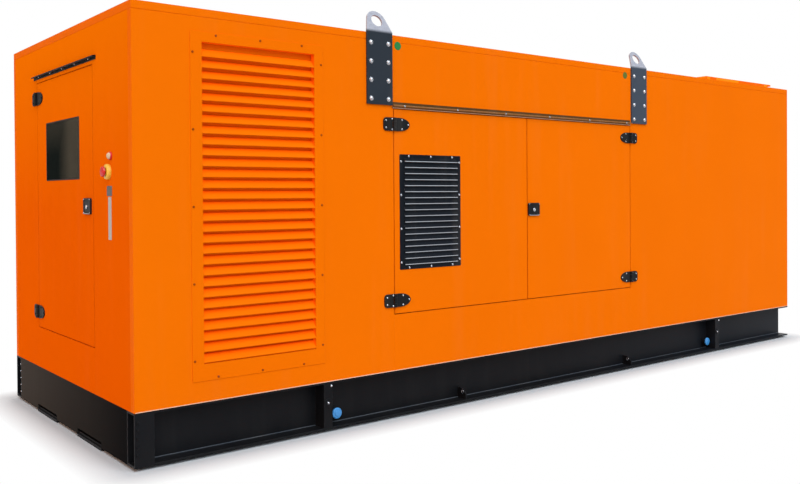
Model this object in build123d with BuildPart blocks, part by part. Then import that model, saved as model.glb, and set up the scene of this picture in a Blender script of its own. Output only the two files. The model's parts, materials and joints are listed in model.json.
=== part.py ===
"""Diesel generating set in a sound-proof steel canopy, millimetres, +Z up.

The origin is on the ground at the middle of the footprint. X runs along the
canopy, with the control end at -X, and the side with the main doors faces -Y.
"""

from build123d import *
from math import cos, radians, sin, sqrt, tan
import os

os.makedirs("parts", exist_ok=True)

# Canopy and base
length = 6960
width = 2310
canopy_height = 2248
base_height = 302
wall = 50
roof_thickness = 48
roof_seam = 3
seam = 6

# Base frame
rail_depth = 100
rail_web = 10
rail_flange = 12
end_plate = 10
corner_plate_length = 112
corner_plate_thickness = 10
gusset_from_control = 1254
gusset_from_radiator = 1309
gusset_width = 64
lug_from_control = 2446
lug_from_radiator = 2600
lug_width = 10
lug_height = 75
lug_depth = 85
cap_diameter = 72
cap_height = 78
cap_inset_control = 102
cap_inset_radiator = 81
cap_length = 55
cross_member_count = 6
cross_member_flange = 100
cross_member_web = 10
floor_plate = 12
runner_offset = 420
runner_width = 430
runner_thickness = 18
notch_height = 35
notch_radius = 16

# Main doorway on the long side
doorway_from_control = 1790
left_leaf_width = 1282
right_leaf_width = 1261
doorway_over_base = 381
doorway_under_roof = 490
meeting_seam = 8
leaf_thickness = 45

# Control doorway on the -X end, measured along Y
control_doorway_low = -540
control_doorway_high = 575
control_doorway_over_base = 279
control_doorway_under_roof = 280
window_offset = 18.5
window_drop = 484
window_width = 662
window_height = 382
window_corner = 6
glass_thickness = 6
seal_width = 8
seal_thickness = 1.5

# Louvre panel beside the doors, a folded tray with sloping blades
louvre_panel_from_control = 338
louvre_panel_width = 892
louvre_panel_over_base = 123
louvre_panel_under_roof = 130
louvre_margin_left = 72
louvre_margin_right = 65
louvre_margin_bottom = 97
louvre_margin_top = 58
louvre_pitch = 62.5
louvre_rise = 48
louvre_depth = 30
louvre_gap = 5
louvre_sheet = 3
louvre_tray = 34
intake_recess = 40
intake_margin = 12

# Slatted vent plate on the left leaf
vent_from_hinge = 321.5
vent_over_sill = 684
vent_width = 549
vent_height = 778
vent_corner = 6
vent_sheet = 3
slat_margin_side = 39.5
slat_margin_end = 20
slat_pitch = 41
slat_rise = 24
slat_projection = 11
vent_recess = 20

# Hinges
hinge_height = 89
hinge_frame_length = 88
hinge_leaf_length = 132
hinge_straight = 44
hinge_plate = 8
hinge_axis_offset = 12
knuckle_radius = 11
knuckle_height = 39
knuckle_gap = 0.8
pin_radius = 4
pin_clearance = 0.1
hinge_plate_relief = 1.5
hinge_corner = 24
hinge_inset_low = 92
hinge_inset_high = 105
control_hinge_inset = 108

# Latches
latch_width = 121
latch_height = 97
latch_projection = 12
latch_corner = 12
latch_from_edge = 66
latch_over_sill = 684
control_latch_from_edge = 90
control_latch_over_sill = 845
paddle_width = 96
paddle_height = 70
paddle_thickness = 5
paddle_clearance = 2
paddle_recess = 9
paddle_pivot_drop = 3
paddle_pin_radius = 1.5

# Rain rails over the doors
rain_rail_height = 25
rain_rail_projection = 22
rain_rail_sheet = 4
rain_rail_gap = 3
control_rail_gap = 22
control_rail_overhang = 60

# Lifting brackets
bracket_beside_door_left = 119
bracket_beside_door_right = 115
bracket_width = 208
bracket_drop = 470
bracket_plate = 12
bracket_bend_above_roof = 8
eye_lean = 24
eye_centre = 80
eye_radius = 75
eye_hole = 85

# Radiator discharge in the roof
discharge_from_radiator_end = 280
discharge_length = 1070
curb_thickness = 8
curb_height = 24
cover_overhang_x = 50
cover_overhang_y = 150
cover_edge = 55
cover_sheet = 4
cover_lift = 34
cover_lip = 12
foot_width = 390
foot_thickness = 6

# Emergency stop on the control end
stop_from_edge = 355
stop_over_base = 1323
stop_collar_radius = 45
stop_collar_depth = 22
stop_button_radius = 30
stop_button_depth = 16
stop_button_crown = 4
stop_stem_radius = 12
stop_travel = 6
stop_clearance = 0.5

# Machinery
bed_y = 450
bed_width = 120
bed_height = 160
bed_behind_alternator = 50
bed_past_engine = 550
shaft_over_base = 760
alternator_from_control = 730
alternator_length = 1050
alternator_radius = 430
alternator_foot_width = 160
bell_radius = 400
bell_length = 250
engine_length = 2250
sump_half_width = 250
crankcase_half_width = 430
sump_under_shaft = 520
crankcase_under_shaft = 280
bank_angle = 35
head_rows = 6
head_pitch = 340
head_length = 290
head_width = 260
head_height = 130
head_reach = 690
fan_gap = 700
radiator_depth = 260
radiator_side_gap = 205
radiator_over_base = 100
radiator_under_roof = 220
radiator_tank = 160
radiator_frame = 60
fan_radius = 700
fan_shroud_depth = 220
fan_shroud_sheet = 6
cabinet_from_control = 240
cabinet_depth = 260
cabinet_low_y = -420
cabinet_high_y = 480
cabinet_height = 1800
cabinet_corner = 10

# Levels and faces worked out from the sizes above
base_bottom = runner_thickness
base_top = base_bottom + base_height
roof_top = base_top + canopy_height
wall_top = roof_top - roof_thickness
half_length = length / 2
half_width = width / 2
web_face = half_width - rail_depth
inner_half_length = half_length - wall
inner_half_width = half_width - wall
half_seam = seam / 2
doorway_left = -half_length + doorway_from_control
meeting_x = doorway_left + left_leaf_width
doorway_right = meeting_x + right_leaf_width
doorway_bottom = base_top + doorway_over_base
doorway_top = roof_top - doorway_under_roof
control_doorway_bottom = base_top + control_doorway_over_base
control_doorway_top = roof_top - control_doorway_under_roof

# Faces of the canopy seen from outside, local X to the right and local Y up
front = Plane(origin=(0, -half_width, 0), x_dir=(1, 0, 0), z_dir=(0, -1, 0))
control = Plane(origin=(-half_length, 0, 0), x_dir=(0, -1, 0), z_dir=(-1, 0, 0))
rail_face = Plane(origin=(0, -web_face, 0), x_dir=(1, 0, 0), z_dir=(0, -1, 0))


def save(piece, name):
    """Label a finished piece and write it under its own name."""
    piece.part.label = name
    export_step(piece.part, f"parts/{name}.step")


def save_mirrored(piece, name):
    """Write the copy of a front piece that sits on the back side."""
    with BuildPart() as copy:
        mirror(piece.part, about=Plane.XZ)
    save(copy, name)


def box_between(low, high):
    """Add a box between two corners to the part being built."""
    size = [b - a for a, b in zip(low, high)]
    middle = [(a + b) / 2 for a, b in zip(low, high)]
    with Locations(tuple(middle)):
        Box(*size)


def panel_between(plane, left, bottom, right, top, thickness, corner=0):
    """Add a flat panel drawn on a face of the canopy and grown along its normal."""
    with BuildSketch(plane) as outline:
        with Locations(((left + right) / 2, (bottom + top) / 2)):
            if corner:
                RectangleRounded(right - left, top - bottom, corner)
            else:
                Rectangle(right - left, top - bottom)
    extrude(outline.sketch, amount=thickness)


def cut_between(plane, left, bottom, right, top, depth, corner=0):
    """Cut a rectangular hole or recess from a face of the canopy inwards."""
    with BuildSketch(plane) as outline:
        with Locations(((left + right) / 2, (bottom + top) / 2)):
            if corner:
                RectangleRounded(right - left, top - bottom, corner)
            else:
                Rectangle(right - left, top - bottom)
    extrude(outline.sketch, amount=-depth, mode=Mode.SUBTRACT)


# Side rail: a channel with its web set back and its flanges reaching out
gusset_x_control = -half_length + gusset_from_control
gusset_x_radiator = half_length - gusset_from_radiator
flange_low = base_bottom + rail_flange
flange_high = base_top - rail_flange
with BuildPart() as base_rail:
    with BuildSketch(Plane.YZ.offset(-half_length)):
        with BuildLine():
            Polyline(
                (-half_width, base_bottom),
                (-web_face + rail_web, base_bottom),
                (-web_face + rail_web, base_top),
                (-half_width, base_top),
                (-half_width, flange_high),
                (-web_face, flange_high),
                (-web_face, flange_low),
                (-half_width, flange_low),
                close=True,
            )
        make_face()
    extrude(amount=length)
    box_between(
        (-half_length, -half_width, flange_low),
        (-half_length + corner_plate_length, -half_width + corner_plate_thickness, flange_high),
    )
    for gusset_x in (gusset_x_control, gusset_x_radiator):
        box_between(
            (gusset_x - gusset_width / 2, -half_width, flange_low),
            (gusset_x + gusset_width / 2, -web_face, flange_high),
        )
    for lug_x in (-half_length + lug_from_control, half_length - lug_from_radiator):
        with BuildSketch(Plane.YZ.offset(lug_x - lug_width / 2)) as lug:
            with BuildLine():
                Polyline(
                    (-web_face, flange_low),
                    (-web_face - lug_depth, flange_low),
                    (-web_face - lug_depth, flange_low + lug_height / 2),
                    (-web_face - lug_depth / 2, flange_low + lug_height),
                    (-web_face, flange_low + lug_height),
                    close=True,
                )
            make_face()
        extrude(lug.sketch, amount=lug_width)
save(base_rail, "base_rail_front")
save_mirrored(base_rail, "base_rail_back")

# End plate with the two rounded notches above the runners
end_half_width = web_face - rail_web
with BuildPart() as base_end:
    with BuildSketch(control) as plate_outline:
        with Locations((0, base_bottom + base_height / 2)):
            Rectangle(2 * end_half_width, base_height)
        with Locations((-runner_offset, base_bottom), (runner_offset, base_bottom)):
            RectangleRounded(runner_width, 2 * notch_height, notch_radius, mode=Mode.SUBTRACT)
    extrude(plate_outline.sketch, amount=-end_plate)
save(base_end, "base_end_control")
with BuildPart() as base_end_far:
    mirror(base_end.part, about=Plane.YZ)
save(base_end_far, "base_end_radiator")

# Cross members between the rails, under the floor plate
floor_bottom = base_top - floor_plate
member_span = length - 2 * end_plate - cross_member_flange
member_pitch = member_span / (cross_member_count - 1)
with BuildPart() as cross_members:
    with BuildSketch(Plane.XZ.offset(-end_half_width)) as beam_section:
        for index in range(cross_member_count):
            beam_x = (index - (cross_member_count - 1) / 2) * member_pitch
            with Locations((beam_x, (base_bottom + floor_bottom) / 2)):
                Rectangle(cross_member_web, floor_bottom - base_bottom)
            with Locations(
                (beam_x, base_bottom + rail_flange / 2),
                (beam_x, floor_bottom - rail_flange / 2),
            ):
                Rectangle(cross_member_flange, rail_flange)
    extrude(beam_section.sketch, amount=2 * end_half_width)
save(cross_members, "base_cross_members")

with BuildPart() as base_floor:
    box_between(
        (-half_length + end_plate, -end_half_width, floor_bottom),
        (half_length - end_plate, end_half_width, base_top),
    )
save(base_floor, "base_floor")

with BuildPart() as skid_runners:
    for side in (-1, 1):
        box_between(
            (-half_length, side * runner_offset - runner_width / 2, 0),
            (half_length, side * runner_offset + runner_width / 2, runner_thickness),
        )
save(skid_runners, "skid_runners")

# Round caps on the rail webs, just inboard of the gussets
cap_z = base_bottom + cap_height
with BuildPart() as base_caps:
    with BuildSketch(rail_face) as cap_outline:
        with Locations(
            (gusset_x_control + cap_inset_control, cap_z),
            (gusset_x_radiator - cap_inset_radiator, cap_z),
        ):
            Circle(cap_diameter / 2)
    extrude(cap_outline.sketch, amount=cap_length)
    mirror(about=Plane.XZ)
save(base_caps, "base_caps")

# Front wall, split beside, over and under the doorway
louvre_panel_left = -half_length + louvre_panel_from_control
louvre_panel_right = louvre_panel_left + louvre_panel_width
louvre_panel_bottom = base_top + louvre_panel_over_base
louvre_panel_top = roof_top - louvre_panel_under_roof
louvre_left = louvre_panel_left + louvre_margin_left
louvre_right = louvre_panel_right - louvre_margin_right
louvre_bottom = louvre_panel_bottom + louvre_margin_bottom
louvre_top = louvre_panel_top - louvre_margin_top
louvre_count = int((louvre_top - louvre_bottom) / louvre_pitch)
intake_edges = (
    louvre_left - intake_margin,
    louvre_bottom - intake_margin,
    louvre_right + intake_margin,
    louvre_top + intake_margin,
)
front_openings_left = doorway_left - half_seam
front_openings_right = doorway_right + half_seam
sill_top = doorway_bottom - half_seam
header_bottom = doorway_top + half_seam

with BuildPart() as front_wall_intake:
    panel_between(front, -half_length, base_top, front_openings_left, wall_top, -wall)
    cut_between(front, *intake_edges, intake_recess)
save(front_wall_intake, "front_wall_intake")

with BuildPart() as front_wall_header:
    panel_between(front, front_openings_left, header_bottom, front_openings_right, wall_top, -wall)
save(front_wall_header, "front_wall_header")

with BuildPart() as front_wall_sill:
    panel_between(front, front_openings_left, base_top, front_openings_right, sill_top, -wall)
save(front_wall_sill, "front_wall_sill")

with BuildPart() as front_wall_radiator:
    panel_between(front, front_openings_right, base_top, half_length, wall_top, -wall)
save(front_wall_radiator, "front_wall_radiator")

# Back wall, one panel with the same intake and doorway
with BuildPart() as back_wall_master:
    panel_between(front, -half_length, base_top, half_length, wall_top, -wall)
    cut_between(front, *intake_edges, intake_recess)
    cut_between(front, front_openings_left, sill_top, front_openings_right, header_bottom, wall)
save_mirrored(back_wall_master, "back_wall")

# Control end, split round its doorway; local X of the face is -Y
control_left = -control_doorway_high - half_seam
control_right = -control_doorway_low + half_seam
control_sill_top = control_doorway_bottom - half_seam
control_header_bottom = control_doorway_top + half_seam
stop_y = -half_width + stop_from_edge
stop_z = base_top + stop_over_base

with BuildPart() as control_wall_hinge:
    panel_between(control, -inner_half_width, base_top, control_left, wall_top, -wall)
save(control_wall_hinge, "control_wall_hinge_side")

with BuildPart() as control_wall_latch:
    panel_between(control, control_right, base_top, inner_half_width, wall_top, -wall)
    with BuildSketch(control) as stem_bore:
        with Locations((-stop_y, stop_z)):
            Circle(stop_stem_radius + stop_clearance)
    extrude(stem_bore.sketch, amount=-wall, mode=Mode.SUBTRACT)
save(control_wall_latch, "control_wall_latch_side")

with BuildPart() as control_wall_header:
    panel_between(control, control_left, control_header_bottom, control_right, wall_top, -wall)
save(control_wall_header, "control_wall_header")

with BuildPart() as control_wall_sill:
    panel_between(control, control_left, base_top, control_right, control_sill_top, -wall)
save(control_wall_sill, "control_wall_sill")

with BuildPart() as radiator_end_wall:
    box_between(
        (inner_half_length, -inner_half_width, base_top),
        (half_length, inner_half_width, wall_top),
    )
save(radiator_end_wall, "radiator_end_wall")

# Roof with the radiator discharge and the curb round it
discharge_x = half_length - discharge_from_radiator_end - discharge_length / 2
cover_half_width = half_width - cover_edge
discharge_half_width = cover_half_width - cover_overhang_y
with BuildPart() as roof:
    with BuildSketch(Plane.XY.offset(wall_top)) as roof_outline:
        Rectangle(length, width)
        with Locations((discharge_x, 0)):
            Rectangle(discharge_length, 2 * discharge_half_width, mode=Mode.SUBTRACT)
    extrude(roof_outline.sketch, amount=roof_thickness)
    lower_rim = roof.edges().filter_by_position(Axis.Z, wall_top, wall_top)
    chamfer(lower_rim.sort_by(SortBy.LENGTH)[-4:], roof_seam)
    with BuildSketch(Plane.XY.offset(roof_top)) as curb_outline:
        with Locations((discharge_x, 0)):
            Rectangle(discharge_length + 2 * curb_thickness, 2 * (discharge_half_width + curb_thickness))
            Rectangle(discharge_length, 2 * discharge_half_width, mode=Mode.SUBTRACT)
    extrude(curb_outline.sketch, amount=curb_height)
save(roof, "roof")

# Raised cover over the discharge, on wide feet at each edge
cover_length = discharge_length + 2 * cover_overhang_x
cover_bottom = roof_top + cover_lift
with BuildPart() as discharge_cover:
    with BuildSketch(Plane.XZ.offset(-cover_half_width)) as cover_section:
        with BuildLine():
            left_x = discharge_x - cover_length / 2
            right_x = discharge_x + cover_length / 2
            FilletPolyline(
                (left_x, cover_bottom - cover_lip),
                (left_x, cover_bottom + cover_sheet),
                (right_x, cover_bottom + cover_sheet),
                (right_x, cover_bottom - cover_lip),
                radius=2 * cover_sheet,
            )
            FilletPolyline(
                (left_x + cover_sheet, cover_bottom - cover_lip),
                (left_x + cover_sheet, cover_bottom),
                (right_x - cover_sheet, cover_bottom),
                (right_x - cover_sheet, cover_bottom - cover_lip),
                radius=cover_sheet,
            )
            Line((left_x, cover_bottom - cover_lip), (left_x + cover_sheet, cover_bottom - cover_lip))
            Line((right_x, cover_bottom - cover_lip), (right_x - cover_sheet, cover_bottom - cover_lip))
        make_face()
    extrude(cover_section.sketch, amount=2 * cover_half_width)
    for side in (-1, 1):
        foot_y = side * (cover_half_width - foot_thickness / 2)
        foot_x = left_x + 0.32 * cover_length
        with Locations((foot_x, foot_y, roof_top + cover_lift / 2)):
            Box(foot_width, foot_thickness, cover_lift)
        with Locations((right_x - foot_width / 4, foot_y, roof_top + cover_lift / 2)):
            Box(foot_width / 8, foot_thickness, cover_lift)
        with Locations((left_x + foot_width / 8, foot_y, roof_top + cover_lift / 2)):
            Box(foot_width / 8, foot_thickness, cover_lift)
save(discharge_cover, "discharge_cover")


def pressed_louvres(plane, left, right, sheet, middles, rise, projection):
    """Slots with a hood over each, open at the bottom, pressed out of a sheet."""
    slot_length = right - left - 2 * sheet
    middle = (left + right) / 2
    with BuildSketch(plane) as slots:
        for level in middles:
            with Locations((middle, level)):
                Rectangle(slot_length, rise)
    extrude(slots.sketch, amount=sheet, mode=Mode.SUBTRACT)
    start = plane.from_local_coords((left, 0, 0))
    across = Plane(origin=start, x_dir=-plane.z_dir, z_dir=plane.x_dir)
    with BuildSketch(across) as cheeks:
        for level in middles:
            with BuildLine():
                Polyline(
                    (-sheet, level + rise / 2),
                    (-sheet, level - rise / 2),
                    (-sheet - projection, level - rise / 2),
                    close=True,
                )
            make_face()
    extrude(cheeks.sketch, amount=sheet)
    extrude(cheeks.sketch.moved(Location(plane.x_dir * (right - left - sheet))), amount=sheet)
    with BuildSketch(across) as hoods:
        for level in middles:
            with BuildLine():
                Polyline(
                    (0, level + rise / 2),
                    (0, level + rise / 2 + sheet),
                    (-sheet, level + rise / 2 + sheet),
                    (-sheet - projection, level - rise / 2 + sheet),
                    (-sheet - projection, level - rise / 2),
                    (-projection, level - rise / 2),
                    (-projection, level - rise / 2 + sheet / 2),
                    close=True,
                )
            make_face()
    extrude(hoods.sketch, amount=right - left)


# Louvre panel screwed over the intake: a tray folded inwards, with a row of sloping blades
louvre_start = front.from_local_coords((louvre_left - louvre_sheet / 2, 0, 0))
blade_plane = Plane(origin=louvre_start, x_dir=-front.z_dir, z_dir=front.x_dir)
with BuildPart() as louvre_panel:
    panel_between(
        front,
        louvre_panel_left,
        louvre_panel_bottom,
        louvre_panel_right,
        louvre_panel_top,
        louvre_sheet,
        corner=4,
    )
    panel_between(
        front,
        louvre_left - louvre_sheet,
        louvre_bottom - louvre_sheet,
        louvre_right + louvre_sheet,
        louvre_top + louvre_sheet,
        -louvre_tray,
    )
    cut_between(
        front.offset(louvre_sheet),
        louvre_left,
        louvre_bottom,
        louvre_right,
        louvre_top,
        louvre_sheet + louvre_tray,
    )
    with BuildSketch(blade_plane) as blades:
        for index in range(louvre_count):
            lip = louvre_bottom + louvre_gap + index * louvre_pitch
            with BuildLine():
                Polyline(
                    (-louvre_sheet, lip),
                    (-louvre_sheet, lip + 2 * louvre_sheet),
                    (louvre_depth, lip + louvre_rise),
                    (louvre_depth, lip + louvre_rise - 2 * louvre_sheet),
                    close=True,
                )
            make_face()
    extrude(blades.sketch, amount=louvre_right - louvre_left + louvre_sheet)
save(louvre_panel, "louvre_panel_front")
save_mirrored(louvre_panel, "louvre_panel_back")

# Door leaves
leaf_left = doorway_left + half_seam
leaf_right = doorway_right - half_seam
leaf_bottom = doorway_bottom + half_seam
leaf_top = doorway_top - half_seam
left_leaf_edge = meeting_x - meeting_seam / 2
right_leaf_edge = meeting_x + meeting_seam / 2
vent_x = doorway_left + vent_from_hinge
vent_z = doorway_bottom + vent_over_sill
slat_length = vent_width - 2 * slat_margin_side
slat_count = int((vent_height - 2 * slat_margin_end) / slat_pitch)
vent_cut = (
    vent_x - slat_length / 2 - vent_sheet,
    vent_z - slat_count * slat_pitch / 2,
    vent_x + slat_length / 2 + vent_sheet,
    vent_z + slat_count * slat_pitch / 2,
)
with BuildPart() as left_door:
    panel_between(front, leaf_left, leaf_bottom, left_leaf_edge, leaf_top, -leaf_thickness)
    cut_between(front, *vent_cut, vent_recess)
save(left_door, "front_left_door")
save_mirrored(left_door, "back_left_door")

with BuildPart() as right_door:
    panel_between(front, right_leaf_edge, leaf_bottom, leaf_right, leaf_top, -leaf_thickness)
save(right_door, "front_right_door")
save_mirrored(right_door, "back_right_door")

control_leaf_left = control_left + seam
control_leaf_right = control_right - seam
window_y = (control_doorway_low + control_doorway_high) / 2 + window_offset
window_z = control_doorway_top - window_drop
with BuildPart() as control_door:
    panel_between(
        control,
        control_leaf_left,
        control_doorway_bottom + half_seam,
        control_leaf_right,
        control_doorway_top - half_seam,
        -leaf_thickness,
    )
    cut_between(
        control,
        -window_y - window_width / 2,
        window_z - window_height / 2,
        -window_y + window_width / 2,
        window_z + window_height / 2,
        leaf_thickness,
        corner=window_corner,
    )
save(control_door, "control_door")

# Window glass flush with the door, and the thin rubber lip over its edge
with BuildPart() as window_glass:
    with BuildSketch(control.offset(-glass_thickness)) as pane:
        with Locations((-window_y, window_z)):
            RectangleRounded(window_width, window_height, window_corner)
    extrude(pane.sketch, amount=glass_thickness)
save(window_glass, "window_glass")

with BuildPart() as window_seal:
    with BuildSketch(control) as seal_ring:
        with Locations((-window_y, window_z)):
            RectangleRounded(
                window_width + seal_width,
                window_height + seal_width,
                window_corner + seal_width / 2,
            )
            RectangleRounded(
                window_width - seal_width,
                window_height - seal_width,
                window_corner - seal_width / 2,
                mode=Mode.SUBTRACT,
            )
    extrude(seal_ring.sketch, amount=seal_thickness)
save(window_seal, "window_seal")

# Slatted vent plate
vent_levels = [vent_z + (index - (slat_count - 1) / 2) * slat_pitch for index in range(slat_count)]
with BuildPart() as vent_plate:
    panel_between(
        front,
        vent_x - vent_width / 2,
        vent_z - vent_height / 2,
        vent_x + vent_width / 2,
        vent_z + vent_height / 2,
        vent_sheet,
        corner=vent_corner,
    )
    pressed_louvres(
        front,
        vent_x - slat_length / 2,
        vent_x + slat_length / 2,
        vent_sheet,
        vent_levels,
        slat_rise,
        slat_projection,
    )
save(vent_plate, "vent_plate_front")
save_mirrored(vent_plate, "vent_plate_back")

# Hinge halves drawn round the pin axis: local X towards the leaf, Z outwards
frame_knuckle_height = (hinge_height - knuckle_height) / 2 - knuckle_gap
relief_x = knuckle_radius + hinge_plate_relief
with BuildPart() as hinge_frame:
    with BuildSketch():
        with Locations((-hinge_frame_length / 2, 0)):
            RectangleRounded(hinge_frame_length, hinge_height, hinge_corner)
        with Locations((-half_seam - hinge_corner / 2, 0)):
            Rectangle(hinge_corner, hinge_height)
        with Locations((0, 0)):
            Rectangle(2 * half_seam, hinge_height, mode=Mode.SUBTRACT)
            Rectangle(2 * relief_x, knuckle_height + 2 * knuckle_gap, mode=Mode.SUBTRACT)
    extrude(amount=hinge_plate)
    for side in (-1, 1):
        knuckle_middle = side * (hinge_height - frame_knuckle_height) / 2
        with Locations(Location((0, knuckle_middle, hinge_axis_offset), (90, 0, 0))):
            Cylinder(knuckle_radius, frame_knuckle_height)
    with Locations(Location((0, 0, hinge_axis_offset), (90, 0, 0))):
        Cylinder(pin_radius, hinge_height)

with BuildPart() as hinge_leaf:
    with BuildSketch():
        with BuildLine():
            EllipticalCenterArc(
                (hinge_straight, 0),
                hinge_leaf_length - hinge_straight,
                hinge_height / 2,
                start_angle=-90,
                arc_size=180,
            )
            Polyline(
                (hinge_straight, -hinge_height / 2),
                (half_seam, -hinge_height / 2),
                (half_seam, hinge_height / 2),
                (hinge_straight, hinge_height / 2),
            )
        make_face()
        for side in (-1, 1):
            with Locations((0, side * hinge_height / 2)):
                Rectangle(2 * relief_x, hinge_height - knuckle_height, mode=Mode.SUBTRACT)
    extrude(amount=hinge_plate)
    with Locations(Location((0, 0, hinge_axis_offset), (90, 0, 0))):
        Cylinder(knuckle_radius, knuckle_height)
        Cylinder(pin_radius + pin_clearance, 2 * hinge_height, mode=Mode.SUBTRACT)


def hinge_places(plane, pivot, levels, direction):
    """Locations of the hinges of one leaf; direction is +1 where it grows to the right."""
    return [
        Plane(
            origin=plane.from_local_coords((pivot, level, 0)),
            x_dir=plane.x_dir * direction,
            z_dir=plane.z_dir,
        ).location
        for level in levels
    ]


door_hinge_levels = (doorway_bottom + hinge_inset_low, doorway_top - hinge_inset_high)
control_hinge_levels = (
    control_doorway_bottom + control_hinge_inset,
    control_doorway_top - control_hinge_inset,
)
left_places = hinge_places(front, doorway_left, door_hinge_levels, 1)
right_places = hinge_places(front, doorway_right, door_hinge_levels, -1)
control_places = hinge_places(control, -control_doorway_high, control_hinge_levels, 1)

with BuildPart() as front_hinge_frames:
    with Locations(*left_places, *right_places):
        add(hinge_frame.part)
save(front_hinge_frames, "front_hinge_frames")

with BuildPart() as control_hinge_frames:
    with Locations(*control_places):
        add(hinge_frame.part)
save(control_hinge_frames, "control_hinge_frames")

for name, places in (
    ("front_left_hinges", left_places),
    ("front_right_hinges", right_places),
    ("control_hinges", control_places),
):
    with BuildPart() as leaf_hinges:
        with Locations(*places):
            add(hinge_leaf.part)
    save(leaf_hinges, name)

# The hinges of the closed doors of the back, each a plate with its barrel
with BuildPart() as closed_hinge:
    with BuildSketch():
        with Locations(((hinge_straight - hinge_frame_length) / 2, 0)):
            Rectangle(hinge_straight + hinge_frame_length, hinge_height)
        with BuildLine():
            EllipticalCenterArc(
                (hinge_straight, 0),
                hinge_leaf_length - hinge_straight,
                hinge_height / 2,
                start_angle=-90,
                arc_size=180,
            )
            Line((hinge_straight, -hinge_height / 2), (hinge_straight, hinge_height / 2))
        make_face()
    extrude(amount=hinge_plate)
    with Locations(Location((0, 0, hinge_axis_offset), (90, 0, 0))):
        Cylinder(knuckle_radius, hinge_height)

with BuildPart() as side_hinges:
    with Locations(*left_places, *right_places):
        add(closed_hinge.part)
save_mirrored(side_hinges, "back_hinges")

# Latch housing with a dished face, drawn at its own centre, and its paddle
paddle_pivot_y = paddle_height / 2 - paddle_pivot_drop
paddle_middle_z = latch_projection - paddle_recess / 2
recess_width = paddle_width + 2 * paddle_clearance
recess_height = paddle_height + 2 * paddle_clearance
with BuildPart() as latch_housing:
    with BuildSketch():
        RectangleRounded(latch_width, latch_height, latch_corner)
    extrude(amount=latch_projection)
    with BuildSketch(Plane.XY.offset(latch_projection)):
        Rectangle(recess_width, recess_height)
    extrude(amount=-paddle_recess, mode=Mode.SUBTRACT)
    for side in (-1, 1):
        pin_x = side * (recess_width / 2 - paddle_clearance)
        with Locations(Location((pin_x, paddle_pivot_y, paddle_middle_z), (0, 90, 0))):
            Cylinder(paddle_pin_radius, 3 * paddle_clearance)

with BuildPart() as latch_paddle:
    with Locations((0, 0, paddle_middle_z)):
        Box(paddle_width, paddle_height, paddle_thickness)
    with Locations(Location((0, paddle_pivot_y, paddle_middle_z), (0, 90, 0))):
        Cylinder(paddle_pin_radius + pin_clearance, 2 * paddle_width, mode=Mode.SUBTRACT)

latch_z = doorway_bottom + latch_over_sill
control_latch_z = control_doorway_bottom + control_latch_over_sill
latch_place = Plane(
    origin=front.from_local_coords((meeting_x + latch_from_edge, latch_z, 0)),
    x_dir=front.x_dir,
    z_dir=front.z_dir,
).location
control_latch_place = Plane(
    origin=control.from_local_coords((control_right - control_latch_from_edge, control_latch_z, 0)),
    x_dir=control.x_dir,
    z_dir=control.z_dir,
).location

for name, place in (("front_latch", latch_place), ("control_latch", control_latch_place)):
    with BuildPart() as housing:
        with Locations(place):
            add(latch_housing.part)
    save(housing, f"{name}_housing")
    with BuildPart() as paddle:
        with Locations(place):
            add(latch_paddle.part)
    save(paddle, f"{name}_paddle")

with BuildPart() as whole_latch:
    with Locations(latch_place):
        add(latch_housing.part)
        add(latch_paddle.part)
save_mirrored(whole_latch, "back_latch")

# Rain rails: an angle with its upper flange sloping outwards
rail_section_points = (
    (0, 0),
    (0, rain_rail_height),
    (rain_rail_projection, rain_rail_height - rain_rail_sheet),
    (rain_rail_projection, rain_rail_height - 3 * rain_rail_sheet),
    (rain_rail_projection - rain_rail_sheet, rain_rail_height - 3 * rain_rail_sheet),
    (rain_rail_projection - rain_rail_sheet, rain_rail_height - 2 * rain_rail_sheet),
    (rain_rail_sheet, rain_rail_height - 2 * rain_rail_sheet),
    (rain_rail_sheet, 0),
)


def rain_rail(plane, left, right, bottom):
    """Add a rain rail to the part being built, on a face of the canopy."""
    start = plane.from_local_coords((left, bottom, 0))
    across = Plane(origin=start, x_dir=-plane.z_dir, z_dir=plane.x_dir)
    with BuildSketch(across) as rail_section:
        with BuildLine():
            Polyline(*((-out, up) for out, up in rail_section_points), close=True)
        make_face()
    extrude(rail_section.sketch, amount=right - left)


bracket_left_x = doorway_left - bracket_beside_door_left
bracket_right_x = doorway_right + bracket_beside_door_right
rail_start = bracket_left_x + bracket_width / 2 + rain_rail_gap
with BuildPart() as front_rain_rail:
    rain_rail(front, rail_start, doorway_right, header_bottom)
save(front_rain_rail, "front_rain_rail")
save_mirrored(front_rain_rail, "back_rain_rail")

with BuildPart() as control_rain_rail:
    rain_rail(
        control,
        control_left - control_rail_overhang,
        control_right + control_rail_overhang,
        control_header_bottom + control_rail_gap,
    )
save(control_rain_rail, "control_rain_rail")

# Lifting bracket: a plate bent over the roof edge, with a tapered round eye
lean = radians(eye_lean)
bracket_bottom = roof_top - bracket_drop
bend_z = roof_top + bracket_bend_above_roof
eye_top = eye_centre + eye_radius
mitre = bracket_plate * tan(lean / 2)
eye_reach = sqrt(eye_radius**2 + eye_centre**2) + eye_radius


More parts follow.
